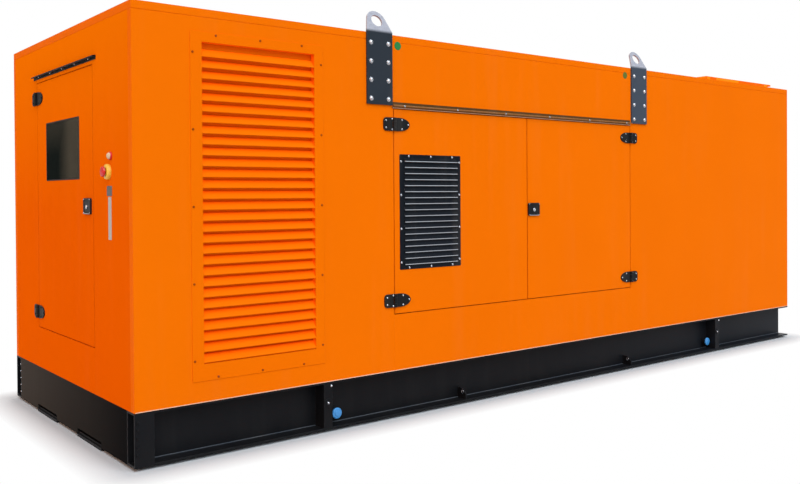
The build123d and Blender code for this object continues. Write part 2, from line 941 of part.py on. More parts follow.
def lifting_bracket(centre_x):
    """One bracket on the front face, centred at the given X."""
    leaning = Plane(
        origin=(centre_x, -half_width, bend_z),
        x_dir=(1, 0, 0),
        z_dir=(0, -cos(lean), sin(lean)),
    )
    with BuildPart() as bracket:
        with BuildSketch(Plane.YZ.offset(centre_x - bracket_width / 2)) as bent_section:
            with BuildLine():
                Polyline(
                    (-half_width, bracket_bottom),
                    (-half_width, bend_z),
                    (-half_width + eye_top * sin(lean), bend_z + eye_top * cos(lean)),
                    (
                        -half_width + eye_top * sin(lean) - bracket_plate * cos(lean),
                        bend_z + eye_top * cos(lean) + bracket_plate * sin(lean),
                    ),
                    (-half_width - bracket_plate, bend_z + mitre),
                    (-half_width - bracket_plate, bracket_bottom),
                    close=True,
                )
            make_face()
        extrude(bent_section.sketch, amount=bracket_width)
        with BuildSketch(leaning) as waste:
            with Locations((0, eye_reach)):
                Rectangle(2 * bracket_width, 2 * eye_reach)
            with BuildSketch(mode=Mode.SUBTRACT):
                with Locations((0, eye_centre)):
                    Circle(eye_radius)
                with Locations((0, -1)):
                    Rectangle(bracket_width, 2)
                make_hull()
        extrude(waste.sketch, amount=2 * bracket_plate, both=True, mode=Mode.SUBTRACT)
        with BuildSketch(leaning) as shackle_hole:
            with Locations((0, eye_centre)):
                Circle(eye_hole / 2)
        extrude(shackle_hole.sketch, amount=2 * bracket_plate, both=True, mode=Mode.SUBTRACT)
    return bracket


for place, centre_x in (("left", bracket_left_x), ("right", bracket_right_x)):
    bracket = lifting_bracket(centre_x)
    save(bracket, f"lifting_bracket_front_{place}")
    save_mirrored(bracket, f"lifting_bracket_back_{place}")

# Emergency stop: a collar on the wall and a mushroom button that pushes in
stop_face = Plane(
    origin=control.from_local_coords((-stop_y, stop_z, 0)), x_dir=control.x_dir, z_dir=control.z_dir
)
button_back = stop_collar_depth + stop_travel + stop_clearance
with BuildPart() as stop_collar:
    with BuildSketch(stop_face) as collar_ring:
        Circle(stop_collar_radius)
        Circle(stop_stem_radius + stop_clearance, mode=Mode.SUBTRACT)
    extrude(collar_ring.sketch, amount=stop_collar_depth)
save(stop_collar, "stop_collar")

with BuildPart() as stop_button:
    with BuildSketch(stop_face.offset(button_back)) as button_outline:
        Circle(stop_button_radius)
    extrude(button_outline.sketch, amount=stop_button_depth - stop_button_crown)
    with BuildSketch(stop_face.offset(button_back + stop_button_depth - stop_button_crown)) as crown:
        Circle(stop_button_radius - stop_button_crown)
    extrude(crown.sketch, amount=stop_button_crown)
    with BuildSketch(stop_face.offset(button_back)) as stem_outline:
        Circle(stop_stem_radius)
    extrude(stem_outline.sketch, amount=-button_back)
save(stop_button, "stop_button")

# Places of the machines along the canopy, each after the one before it
shaft_z = base_top + shaft_over_base
sump_bottom_z = shaft_z - sump_under_shaft
crankcase_bottom_z = shaft_z - crankcase_under_shaft
alternator_left = -half_length + alternator_from_control
engine_left = alternator_left + alternator_length + bell_length
radiator_left = engine_left + engine_length + fan_gap

# Engine bed: two box beams with the feet of the machines on them
bed_left = alternator_left - bed_behind_alternator
bed_right = engine_left + engine_length + bed_past_engine
with BuildPart() as engine_bed:
    for side in (-1, 1):
        box_between(
            (bed_left, side * bed_y - bed_width / 2, base_top),
            (bed_right, side * bed_y + bed_width / 2, base_top + bed_height),
        )
save(engine_bed, "engine_bed")

# Alternator: a round frame on a foot plate, and the bell towards the engine
bed_top = base_top + bed_height
with BuildPart() as alternator:
    with BuildSketch(Plane.YZ.offset(alternator_left)) as stator:
        with Locations((0, shaft_z)):
            Circle(alternator_radius)
    extrude(stator.sketch, amount=alternator_length)
    for side in (-1, 1):
        foot_y = side * (bed_y - alternator_foot_width / 2 + bed_width / 2)
        box_between(
            (alternator_left + alternator_foot_width, foot_y - alternator_foot_width / 2, bed_top),
            (
                alternator_left + alternator_length - alternator_foot_width,
                foot_y + alternator_foot_width / 2,
                shaft_z,
            ),
        )
    with BuildSketch(Plane.YZ.offset(alternator_left + alternator_length)) as bell_base:
        with Locations((0, shaft_z)):
            Circle(bell_radius)
    extrude(bell_base.sketch, amount=bell_length)
save(alternator, "alternator")

# Engine: a vee crankcase with the sump below and a row of heads on each bank
bank = radians(bank_angle)
deck_half = head_width / 2
deck_y = head_reach * sin(bank)
deck_z = shaft_z + head_reach * cos(bank)
with BuildPart() as engine:
    with BuildSketch(Plane.YZ.offset(engine_left)) as crankcase:
        with BuildLine():
            Polyline(
                (-sump_half_width, sump_bottom_z),
                (sump_half_width, sump_bottom_z),
                (crankcase_half_width, crankcase_bottom_z),
                (crankcase_half_width, shaft_z),
                (deck_y + deck_half * cos(bank), deck_z - deck_half * sin(bank)),
                (deck_y - deck_half * cos(bank), deck_z + deck_half * sin(bank)),
                (0, shaft_z + crankcase_half_width),
                (-deck_y + deck_half * cos(bank), deck_z + deck_half * sin(bank)),
                (-deck_y - deck_half * cos(bank), deck_z - deck_half * sin(bank)),
                (-crankcase_half_width, shaft_z),
                (-crankcase_half_width, crankcase_bottom_z),
                close=True,
            )
        make_face()
    extrude(crankcase.sketch, amount=engine_length)
    for side in (-1, 1):
        deck = Plane(
            origin=(engine_left + engine_length / 2, side * deck_y, deck_z),
            x_dir=(1, 0, 0),
            z_dir=(0, side * sin(bank), cos(bank)),
        )
        with BuildSketch(deck) as heads:
            with GridLocations(head_pitch, 1, head_rows, 1):
                Rectangle(head_length, head_width)
        extrude(heads.sketch, amount=head_height)
        bed_foot_y = side * bed_y
        for foot_x in (engine_left + head_pitch, engine_left + engine_length - head_pitch):
            box_between(
                (foot_x - bed_width / 2, bed_foot_y - bed_width / 2, bed_top),
                (foot_x + bed_width / 2, bed_foot_y + bed_width / 2, crankcase_bottom_z + bed_width),
            )
save(engine, "engine")

# Radiator: side frames, two header tanks, a thinner core and the fan shroud
radiator_half_width = inner_half_width - radiator_side_gap
radiator_bottom = base_top + radiator_over_base
radiator_top = wall_top - radiator_under_roof
core_inset = radiator_frame / 2
shroud_z = (radiator_bottom + radiator_top) / 2
with BuildPart() as radiator:
    box_between(
        (radiator_left + core_inset, -radiator_half_width, radiator_bottom),
        (radiator_left + radiator_depth - core_inset, radiator_half_width, radiator_top),
    )
    for low, high in (
        (radiator_bottom, radiator_bottom + radiator_tank),
        (radiator_top - radiator_tank, radiator_top),
    ):
        box_between(
            (radiator_left, -radiator_half_width, low),
            (radiator_left + radiator_depth, radiator_half_width, high),
        )
    for side in (-1, 1):
        frame_y = side * (radiator_half_width - radiator_frame / 2)
        box_between(
            (radiator_left, frame_y - radiator_frame / 2, base_top),
            (radiator_left + radiator_depth, frame_y + radiator_frame / 2, radiator_top),
        )
    with BuildSketch(Plane.YZ.offset(radiator_left + core_inset)) as shroud_ring:
        with Locations((0, shroud_z)):
            Circle(fan_radius)
            Circle(fan_radius - fan_shroud_sheet, mode=Mode.SUBTRACT)
    extrude(shroud_ring.sketch, amount=-fan_shroud_depth)
save(radiator, "radiator")

# Control cabinet that stands on the floor behind the window
cabinet_left = -half_length + cabinet_from_control
cabinet_top = base_top + cabinet_height
with BuildPart() as control_cabinet:
    box_between(
        (cabinet_left, cabinet_low_y, base_top),
        (cabinet_left + cabinet_depth, cabinet_high_y, cabinet_top),
    )
    fillet(control_cabinet.edges().filter_by(Axis.Z), radius=cabinet_corner)
save(control_cabinet, "control_cabinet")
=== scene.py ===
"""Finishes, fittings and studio for a diesel generating set in an orange canopy, in metres."""

import json
from math import cos, pi, radians, sin

import bmesh
import bpy
from mathutils import Matrix, Vector


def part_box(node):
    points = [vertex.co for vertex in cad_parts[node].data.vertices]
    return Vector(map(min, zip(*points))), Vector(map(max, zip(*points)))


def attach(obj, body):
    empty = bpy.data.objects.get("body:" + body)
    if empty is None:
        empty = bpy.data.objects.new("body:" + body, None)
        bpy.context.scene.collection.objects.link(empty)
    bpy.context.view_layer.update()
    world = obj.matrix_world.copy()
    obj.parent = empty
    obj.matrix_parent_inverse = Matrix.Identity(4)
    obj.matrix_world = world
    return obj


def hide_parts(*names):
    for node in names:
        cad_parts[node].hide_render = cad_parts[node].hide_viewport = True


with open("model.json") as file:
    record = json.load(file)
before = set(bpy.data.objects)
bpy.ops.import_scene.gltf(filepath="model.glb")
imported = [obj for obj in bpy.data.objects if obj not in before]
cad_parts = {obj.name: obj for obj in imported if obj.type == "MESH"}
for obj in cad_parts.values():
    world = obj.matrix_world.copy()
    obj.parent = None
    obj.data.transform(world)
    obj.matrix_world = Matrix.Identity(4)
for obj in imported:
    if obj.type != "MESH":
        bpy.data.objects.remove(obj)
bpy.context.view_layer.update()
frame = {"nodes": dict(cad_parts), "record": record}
nodes = frame["nodes"]
record = frame["record"]
scene = bpy.context.scene

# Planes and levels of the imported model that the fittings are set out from
front_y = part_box("front_wall_header")[0].y
back_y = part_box("back_wall")[1].y
end_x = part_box("control_wall_header")[0].x
far_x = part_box("radiator_end_wall")[1].x
base_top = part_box("base_floor")[1].z
base_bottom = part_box("base_rail_front")[0].z
wall_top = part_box("radiator_end_wall")[1].z
roof_rise = 0.048
roof_top = wall_top + roof_rise
cover_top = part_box("discharge_cover")[1].z
door_low, door_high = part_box("front_left_door")[0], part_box("front_right_door")[1]
end_door_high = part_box("control_door")[1]
web_inset = 0.1
gusset_spots = (end_x + 1.254, far_x - 1.309)
lug_spots = (end_x + 2.446, far_x - 2.6)

# Shader building

BEVEL_SAMPLES = 4
PEEL_STRENGTH = 0.6
WEAR_REACH = 1.5
SMOOTHER, ROUGHER = 0.04, 0.05
WHITE = (1, 1, 1, 1)


def put(tree, kind, inputs=None, **settings):
    """Add a shader node to a tree, set its properties, then fill its inputs with values or links."""
    node = tree.nodes.new("ShaderNode" + kind)
    for name, value in settings.items():
        setattr(node, name, value)
    for name, value in (inputs or {}).items():
        if isinstance(value, bpy.types.NodeSocket):
            tree.links.new(value, node.inputs[name])
        else:
            node.inputs[name].default_value = value
    return node


def calc(tree, operation, first, second=0.0, clamp=False):
    """A Math node's result."""
    inputs = {0: first, 1: second}
    return put(tree, "Math", inputs, operation=operation, use_clamp=clamp).outputs[0]


def along_vector(tree, first, second):
    """How far one vector reaches along another."""
    node = put(tree, "VectorMath", {0: first, 1: second}, operation="DOT_PRODUCT")
    return node.outputs["Value"]


def ramp(tree, value, low, high, start=0.0, end=1.0):
    """A value stretched from one range to another and held at its ends."""
    limits = {"Value": value, "From Min": low, "From Max": high, "To Min": start, "To Max": end}
    return put(tree, "MapRange", limits).outputs[0]


def part_of(tree, vector, axis):
    """One coordinate of a vector."""
    return put(tree, "SeparateXYZ", {0: vector}).outputs[axis]


def blend_colors(tree, factor, *colors):
    """A colour between two others, each a link or its red, green and blue."""
    first, second = [(*color, 1.0) if isinstance(color, tuple) else color for color in colors]
    return put(tree, "Mix", {0: factor, 6: first, 7: second}, data_type="RGBA").outputs[2]


def noise(tree, vector, scale, detail=2.0, roughness=0.5):
    """The factor of a Noise texture."""
    settings = {"Vector": vector, "Scale": scale, "Detail": detail, "Roughness": roughness}
    return put(tree, "TexNoise", settings).outputs["Fac"]


def object_vector(tree, scale=(1, 1, 1)):
    """Object coordinates, stretched."""
    coordinates = put(tree, "TexCoord").outputs["Object"]
    return put(tree, "Mapping", {"Vector": coordinates, "Scale": scale}).outputs[0]


def new_group(name, inputs, outputs):
    """An empty shader group with float inputs and named outputs."""
    tree = bpy.data.node_groups.new(name, "ShaderNodeTree")
    for label, value in inputs.items():
        socket = tree.interface.new_socket(label, in_out="INPUT", socket_type="NodeSocketFloat")
        socket.default_value = value
    for label in outputs:
        tree.interface.new_socket(label, in_out="OUTPUT", socket_type="NodeSocketFloat")
    given, result = tree.nodes.new("NodeGroupInput"), tree.nodes.new("NodeGroupOutput")
    return tree, given.outputs, result.inputs


def make_grain():
    """Fine orange peel of a sprayed coat, and broad mottling of its shade."""
    defaults = {"Scale": 400.0, "Mottle Scale": 1.5}
    tree, given, result = new_group("sprayed grain", defaults, ("Height", "Mottle"))
    vector = object_vector(tree)
    tree.links.new(noise(tree, vector, given["Scale"], 2.0), result["Height"])
    broad = noise(tree, vector, given["Mottle Scale"], 3.0)
    tree.links.new(ramp(tree, broad, 0.3, 0.7), result["Mottle"])
    return tree


def make_edge_wear():
    """Rubbed edges: where the surface turns within a small radius, broken up by noise."""
    tree, given, result = new_group("rubbed edges", {"Radius": 0.004, "Break-up": 30.0}, ("Mask",))
    bevel = put(tree, "Bevel", {"Radius": given["Radius"]}, samples=BEVEL_SAMPLES)
    normal = put(tree, "NewGeometry").outputs["Normal"]
    turned_away = ramp(tree, along_vector(tree, bevel.outputs[0], normal), 0.995, 0.85)
    patches = ramp(tree, noise(tree, object_vector(tree), given["Break-up"], 4.0), 0.48, 0.62)
    tree.links.new(calc(tree, "MULTIPLY", turned_away, patches), result["Mask"])
    return tree


def make_dust():
    """Dust that settles on upward faces and splashes up from the ground."""
    tree, given, result = new_group("settled dust", {"Scale": 6.0, "Splash Height": 0.5}, ("Mask",))
    normal = put(tree, "NewGeometry").outputs["Normal"]
    settled = ramp(tree, part_of(tree, normal, "Z"), 0.5, 1.0)
    height = part_of(tree, object_vector(tree), "Z")
    share = calc(tree, "DIVIDE", height, given["Splash Height"])
    splash = calc(tree, "POWER", calc(tree, "SUBTRACT", 1.0, share, clamp=True), 2.0)
    either = calc(tree, "MAXIMUM", settled, splash)
    patches = ramp(tree, noise(tree, object_vector(tree), given["Scale"], 5.0, 0.6), 0.3, 0.75)
    tree.links.new(calc(tree, "MULTIPLY", either, patches), result["Mask"])
    return tree


def make_streaks():
    """Faint upright runs left by rain."""
    tree, given, result = new_group("rain streaks", {"Density": 9.0}, ("Mask",))
    vector = object_vector(tree, (1.0, 1.0, 0.07))
    tree.links.new(ramp(tree, noise(tree, vector, given["Density"], 4.0, 0.6), 0.5, 0.8), result["Mask"])
    return tree


def make_drift():
    """A slow change from one place to another along a direction."""
    defaults = {"X": 0.0, "Y": 0.0, "Z": 0.0, "Start": 0.0, "End": 1.0}
    tree, given, result = new_group("drift", defaults, ("Mask",))
    direction = put(tree, "CombineXYZ", {axis: given[axis] for axis in "XYZ"}).outputs[0]
    reach = along_vector(tree, object_vector(tree), direction)
    tree.links.new(ramp(tree, reach, given["Start"], given["End"]), result["Mask"])
    return tree


GRAIN, EDGE_WEAR, DUST, STREAKS = make_grain(), make_edge_wear(), make_dust(), make_streaks()
DRIFT = make_drift()


def use_group(tree, group, **inputs):
    """Outputs of a shader group placed in a material with its own values."""
    return put(tree, "Group", inputs, node_tree=group).outputs


def new_material(name):
    """A material and its node tree."""
    material = bpy.data.materials.new(name)
    material.use_nodes = True
    return material, material.node_tree


def coated(
    name, color, shade, roughness, specular=0.3, metallic=0.0, grain=400.0, relief=0.0001, edge=0.003,
    worn=None, wear=0.5, dust=0.15, streaks=0.05, dust_color=(0.45, 0.38, 0.3),
):
    """A painted or moulded surface with grain, soft edges, dust, rain streaks and worn edges."""
    material, tree = new_material(name)
    bsdf = tree.nodes["Principled BSDF"]
    bsdf.inputs["Metallic"].default_value = metallic
    bsdf.inputs["Specular IOR Level"].default_value = specular
    peel = use_group(tree, GRAIN, Scale=grain)
    base = blend_colors(tree, peel["Mottle"], color, shade)
    if streaks:
        run = calc(tree, "MULTIPLY", use_group(tree, STREAKS)["Mask"], streaks)
        base = blend_colors(tree, run, base, dust_color)
    if dust:
        film = calc(tree, "MULTIPLY", use_group(tree, DUST)["Mask"], dust)
        base = blend_colors(tree, film, base, dust_color)
    if worn:
        turns = use_group(tree, EDGE_WEAR, Radius=edge * WEAR_REACH)["Mask"]
        base = blend_colors(tree, calc(tree, "MULTIPLY", turns, wear), base, worn)
    tree.links.new(base, bsdf.inputs["Base Color"])
    rough = ramp(tree, peel["Mottle"], 0.0, 1.0, roughness - SMOOTHER, roughness + ROUGHER)
    tree.links.new(rough, bsdf.inputs["Roughness"])
    soft = put(tree, "Bevel", {"Radius": edge}, samples=BEVEL_SAMPLES).outputs[0]
    bump = put(tree, "Bump", {"Height": peel["Height"], "Distance": relief, "Normal": soft})
    bump.inputs["Strength"].default_value = PEEL_STRENGTH
    tree.links.new(bump.outputs[0], bsdf.inputs["Normal"])
    return material


def drifting(material, second, **along):
    """Let the colour of a coat change slowly to a second one, to paint light and shade along a direction.
    """
    tree = material.node_tree
    color = tree.nodes["Principled BSDF"].inputs["Base Color"]
    mask = use_group(tree, DRIFT, **along)["Mask"]
    tree.links.new(blend_colors(tree, mask, color.links[0].from_socket, second), color)


def painted_glow(material, color, **along):
    """A painted glow: emission beyond a place along a direction, standing in for light that close painted
    faces pass on to each other.
    """
    tree = material.node_tree
    bsdf = tree.nodes["Principled BSDF"]
    mask = use_group(tree, DRIFT, **along)["Mask"]
    tree.links.new(blend_colors(tree, mask, (0, 0, 0), color), bsdf.inputs["Emission Color"])
    bsdf.inputs["Emission Strength"].default_value = 1.0


ORANGE = (0.8, 0.145, 0.0004)
ORANGE_SHADE = (0.78, 0.14, 0.0004)
# The end's orange is a darker, redder copy of the side's, as painted shade, and its top drifts to a lighter
# copy, as painted light.
END_COAT_IN_PAINTED_SHADE = (0.765, 0.114, 0.0003)
END_MOTTLE_IN_PAINTED_SHADE = (0.745, 0.107, 0.0003)
END_TOP_IN_PAINTED_LIGHT = (0.84, 0.198, 0.0004)
ORANGE_WORN = (0.96, 0.21, 0.02)
BLACK = (0.0046, 0.0048, 0.0058)

canopy_paint = coated(
    "orange powder coat", ORANGE, ORANGE_SHADE,
    roughness=0.5, worn=ORANGE_WORN, specular=0.01, dust=0.03, streaks=0.012,
)
# Louvres: the paint turns lighter deeper in the recess and gets a painted glow there, painted light that
# lifts the shade between the blades.
louvre_paint = coated(
    "orange coat of the louvres", ORANGE, ORANGE_SHADE,
    roughness=0.5, worn=ORANGE_WORN, specular=0.01, dust=0.02, streaks=0.0, wear=0.3,
)
drifting(louvre_paint, (0.92, 0.146, 0.0008), Y=1.0, Start=front_y - 0.001, End=front_y + 0.007)
painted_glow(louvre_paint, (0.2, 0.012, 0.0), Y=1.0, Start=front_y + 0.003, End=front_y + 0.024)
# Cover: a painted glow on the underside of the lid, painted light that lifts its shade.
cover_paint = coated(
    "orange coat of the cover", ORANGE, ORANGE_SHADE,
    roughness=0.5, worn=ORANGE_WORN, specular=0.01, dust=0.03,
)
painted_glow(cover_paint, (0.62, 0.13, 0.006), Z=-1.0, Start=0.0012 - cover_top, End=0.0035 - cover_top)
# End face: painted shade, lightening towards the top as painted light.
end_coat_with_painted_shade = coated(
    "orange powder coat of the end", END_COAT_IN_PAINTED_SHADE, END_MOTTLE_IN_PAINTED_SHADE,
    roughness=0.5, worn=ORANGE_WORN, specular=0.0, dust=0.0, streaks=0.01,
)
drifting(end_coat_with_painted_shade, END_TOP_IN_PAINTED_LIGHT, Z=1.0, Start=1.4, End=3.0)
base_paint = coated(
    "base frame enamel", BLACK, (0.0053, 0.0057, 0.007),
    roughness=0.42, worn=(0.04, 0.04, 0.045), specular=0.12, dust=0.04, streaks=0.04, wear=0.7,
    dust_color=(0.1, 0.09, 0.075),
)
# Painted reflection: the black enamel turns lighter and bluer towards +X.
drifting(base_paint, (0.0075, 0.0092, 0.0125), X=1.0, Start=0.0, End=3.6)
# The base ends are a brown copy of the black enamel, a painted reflection of the floor, turning black
# towards -Y.
base_end_with_painted_reflection = coated(
    "base frame enamel of the end with painted reflection", (0.041, 0.037, 0.031), (0.048, 0.043, 0.036),
    roughness=0.45, worn=(0.09, 0.08, 0.07), specular=0.005, dust=0.03, streaks=0.1, wear=0.7,
    dust_color=(0.09, 0.085, 0.07),
)
drifting(base_end_with_painted_reflection, (0.0045, 0.0045, 0.0048), Y=-1.0, Start=-1.0, End=1.0)
cap_plastic = coated(
    "blue moulded cap", (0.03, 0.26, 0.6), (0.025, 0.22, 0.52),
    roughness=0.3, specular=0.5, streaks=0.0,
)
vent_black = coated(
    "black pressed vent", (0.005, 0.007, 0.01), (0.007, 0.009, 0.013),
    roughness=0.38, worn=(0.25, 0.25, 0.27), specular=0.08, edge=0.0015,
)
hinge_black = coated(
    "black hinge", (0.006, 0.007, 0.008), (0.009, 0.01, 0.011),
    roughness=0.4, worn=(0.1, 0.1, 0.11), specular=0.15, edge=0.002,
)
latch_black = coated(
    "black latch", (0.006, 0.007, 0.009), (0.009, 0.01, 0.012),
    roughness=0.35, worn=(0.1, 0.1, 0.1), specular=0.18, edge=0.002,
)
rail_bronze = coated(
    "dark bronze rail", (0.28, 0.115, 0.03), (0.25, 0.1, 0.026),
    roughness=0.45, worn=(0.5, 0.45, 0.4), specular=0.1, edge=0.001, wear=0.8,
)
flange_bronze = coated(
    "dark bronze flange", (0.105, 0.048, 0.013), (0.085, 0.038, 0.01),
    roughness=0.45, worn=(0.4, 0.3, 0.2), specular=0.05, edge=0.001, wear=0.2,
)
rail_black = coated(
    "black rail", (0.006, 0.006, 0.007), (0.009, 0.009, 0.01),
    roughness=0.35, worn=(0.3, 0.28, 0.26), specular=0.08, edge=0.001, wear=0.8,
)
stop_yellow = coated(
    "yellow collar", (0.82, 0.52, 0.04), (0.78, 0.48, 0.035),
    roughness=0.3, specular=0.5,
)
stop_red = coated(
    "red mushroom", (0.62, 0.01, 0.008), (0.55, 0.009, 0.008),
    roughness=0.25, specular=0.5,
)
machine_grey = coated(
    "dark machine enamel", (0.055, 0.06, 0.066), (0.045, 0.05, 0.055),
    roughness=0.35, worn=(0.3, 0.3, 0.3), specular=0.4, grain=160.0, relief=0.0004,
)
engine_paint = coated(
    "engine enamel", (0.115, 0.125, 0.13), (0.095, 0.104, 0.11),
    roughness=0.35, worn=(0.35, 0.35, 0.35), specular=0.4, grain=120.0, relief=0.0006,
)
radiator_black = coated(
    "radiator enamel", (0.012, 0.012, 0.014), (0.02, 0.02, 0.022),
    roughness=0.45, worn=(0.12, 0.12, 0.12), specular=0.35,
)
cabinet_grey = coated(
    "cabinet powder coat", (0.38, 0.39, 0.38), (0.34, 0.35, 0.34),
    roughness=0.45, worn=(0.55, 0.55, 0.55), grain=900.0, relief=0.0003,
)
seal_rubber = coated(
    "window rubber", (0.02, 0.014, 0.01), (0.03, 0.02, 0.015),
    roughness=0.6, specular=0.2,
)
screw_paint = coated(
    "painted screw", (0.34, 0.055, 0.004), (0.28, 0.045, 0.003),
    roughness=0.4, specular=0.05, edge=0.001,
)
# Grey strips on lips, as painted highlights.
lip_highlight_paint = coated(
    "painted lip highlight", (0.42, 0.43, 0.45), (0.34, 0.35, 0.37),
    roughness=0.35, specular=0.5, grain=900.0, edge=0.0008,
)
# Weld bead: lighter than the base enamel, a painted highlight.
bead_highlight_paint = coated(
    "weld bead with painted highlight", (0.05, 0.065, 0.085), (0.04, 0.052, 0.068),
    roughness=0.3, worn=(0.12, 0.13, 0.14), specular=0.5, grain=200.0, relief=0.0006, edge=0.0008,
)
# Pale strips laid along edges as painted highlights.
edge_highlight_paint = coated(
    "painted edge highlight", (0.8, 0.52, 0.36), (0.74, 0.44, 0.28),
    roughness=0.35, specular=0.4, edge=0.0008,
)
zinc = coated(
    "bright zinc", (0.72, 0.73, 0.76), (0.6, 0.61, 0.64),
    roughness=0.22, specular=0.5, metallic=1.0, grain=900.0, edge=0.001, dust=0.0, streaks=0.0,
)
lining_foam = coated(
    "sound lining", (0.035, 0.036, 0.04), (0.05, 0.052, 0.056),
    roughness=0.85, specular=0.1, grain=260.0, relief=0.003, dust=0.0, streaks=0.0,
)


def make_bracket_with_painted_sheen():
    """Blue-grey plate with a painted reflection that grows lighter towards +X, and a painted sky reflection
    in spangled grey on the eye above the bend.
    """
    material = coated(
        "bracket plate", (0.017, 0.023, 0.03), (0.022, 0.028, 0.037),
        roughness=0.4, worn=(0.2, 0.23, 0.25), specular=0.15, edge=0.002, wear=0.4,
    )
    # Painted reflection: lighter and bluer towards +X.
    drifting(material, (0.05, 0.064, 0.087), X=1.0, Start=-1.2, End=1.3)
    tree = material.node_tree
    bsdf = tree.nodes["Principled BSDF"]
    vector = object_vector(tree)
    # Painted sky reflection: light spangled grey above the bend.
    painted_sky_reflection = ramp(tree, part_of(tree, vector, "Z"), roof_top + 0.002, roof_top + 0.024)
    spangle = put(tree, "TexVoronoi", {"Vector": vector, "Scale": 70.0}).outputs["Color"]
    grey = put(tree, "RGBToBW", {0: spangle}).outputs[0]
    steel = blend_colors(tree, grey, (0.3, 0.305, 0.345), (0.38, 0.385, 0.43))
    paint = bsdf.inputs["Base Color"].links[0].from_socket
    tree.links.new(blend_colors(tree, painted_sky_reflection, paint, steel), bsdf.inputs["Base Color"])
    return material


def make_glass():
    """Tinted pane that lets a little of the cabinet show, with painted reflections in its colour: lighter
    towards -Y and near the top, broken up by smears.
    """
    material, tree = new_material("tinted glass")
    bsdf = tree.nodes["Principled BSDF"]
    bsdf.inputs["Transmission Weight"].default_value = 0.5
    bsdf.inputs["IOR"].default_value = 1.03
    smear_and_reflection_breakup = noise(tree, object_vector(tree, (1.0, 1.0, 3.0)), 6.0, 4.0)
    near = use_group(tree, DRIFT, Y=-1.0, Start=-0.12, End=0.12)["Mask"]
    above = use_group(tree, DRIFT, Z=1.0, Start=1.78, End=1.96)["Mask"]
    # Painted reflection: lighter towards -Y and, more faintly, near the top.
    painted_reflection = calc(tree, "MAXIMUM", near, calc(tree, "MULTIPLY", above, 0.42))
    painted_reflection = calc(tree, "MULTIPLY", painted_reflection, ramp(tree, smear_and_reflection_breakup, 0.25, 0.75, 0.75, 1.0))
    film = blend_colors(tree, painted_reflection, (0.005, 0.01, 0.007), (0.118, 0.112, 0.082))
    tree.links.new(film, bsdf.inputs["Base Color"])
    tree.links.new(ramp(tree, smear_and_reflection_breakup, 0.3, 0.8, 0.02, 0.09), bsdf.inputs["Roughness"])
    return material


finishes = dict(
    base_paint=base_paint, cap_plastic=cap_plastic, canopy_paint=canopy_paint, seal_rubber=seal_rubber,
    vent_black=vent_black, hinge_black=hinge_black, latch_black=latch_black, rail_dark=rail_bronze,
    stop_yellow=stop_yellow, stop_red=stop_red, machine_grey=machine_grey, engine_paint=engine_paint,
    radiator_black=radiator_black, cabinet_grey=cabinet_grey, window_glass=make_glass(),
    bracket_steel=make_bracket_with_painted_sheen(),
)
own_finishes = {
    "discharge_cover": cover_paint,
    "louvre_panel_front": louvre_paint,
    "control_door": end_coat_with_painted_shade,
    "base_end_control": base_end_with_painted_reflection,
    "base_end_radiator": base_end_with_painted_reflection,
    "control_rain_rail": rail_black,
}
for place in ("hinge_side", "latch_side", "header", "sill"):
    own_finishes[f"control_wall_{place}"] = end_coat_with_painted_shade
for part in record["subparts"]:
    name = part["node"]
    nodes[name].data.materials.clear()
    nodes[name].data.materials.append(own_finishes.get(name, finishes[part["material_slot"]]))


# Places on the faces of the canopy: X to the right, Y up and Z outwards

def on_front(x, z, out=0.0):
    return Matrix(((1, 0, 0, x), (0, 0, -1, front_y - out), (0, 1, 0, z), (0, 0, 0, 1)))


def on_back(x, z, out=0.0):
    return Matrix(((-1, 0, 0, x), (0, 0, 1, back_y + out), (0, 1, 0, z), (0, 0, 0, 1)))


def on_end(y, z, out=0.0):
    return Matrix(((0, 0, -1, end_x - out), (-1, 0, 0, y), (0, 1, 0, z), (0, 0, 0, 1)))


def along(x, y, z, way=1):
    """A place whose Z runs along the machine: to +X, or to -X where way is -1."""
    return Matrix.Translation((x, y, z)) @ Matrix.Rotation(way * pi / 2, 4, "Y")


def facing(place, right, up):
    """A place that faces any way: X to the right, Y up and Z outwards."""
    right, up = Vector(right), Vector(up)
    return Matrix.Translation(place) @ Matrix((right, up, right.cross(up))).transposed().to_4x4()


def spread(first, last, count):
    """Evenly spaced values from first to last."""
    return [first + (last - first) * index / (count - 1) for index in range(count)]


def round_edge(low, high, inset, levels, columns):
    """Spots round the edge of an upright plate: up both sides, and along its foot and top."""
    sides = [(x, z) for x in (low.x + inset, high.x - inset) for z in levels]
    return sides + [(x, z) for x in columns for z in (low.z + inset, high.z - inset)]


# Shapes, each a bmesh standing on its own XY plane

def turned(profile, segments=16):
    """A body of revolution about Z from its outline, given as radius and height pairs."""
    shape = bmesh.new()
    points = [shape.verts.new((radius, 0, height)) for radius, height in profile]
    edges = [shape.edges.new(pair) for pair in zip(points, points[1:])]
    way = {"cent": (0, 0, 0), "axis": (0, 0, 1), "angle": 2 * pi}
    bmesh.ops.spin(shape, geom=points + edges, steps=segments, use_merge=True, **way)
    bmesh.ops.remove_doubles(shape, verts=shape.verts, dist=1e-6)
    bmesh.ops.recalc_face_normals(shape, faces=shape.faces)
    return shape


def dome_bolt(radius, height):
    """A domed cap nut on its washer."""
    outline = ((0, 0), (1, 0), (1, 0.15), (0.82, 0.2), (0.8, 0.45), (0.62, 0.8), (0.3, 0.97), (0, 1))
    return turned([(radius * out, height * up) for out, up in outline], 14)


def pan_screw(radius, height):
    """A low pan head with a recess in its middle."""
    outline = ((0, 0), (1, 0), (0.92, 0.7), (0.7, 1), (0.25, 1), (0.2, 0.6), (0, 0.55))
    return turned([(radius * out, height * up) for out, up in outline], 10)


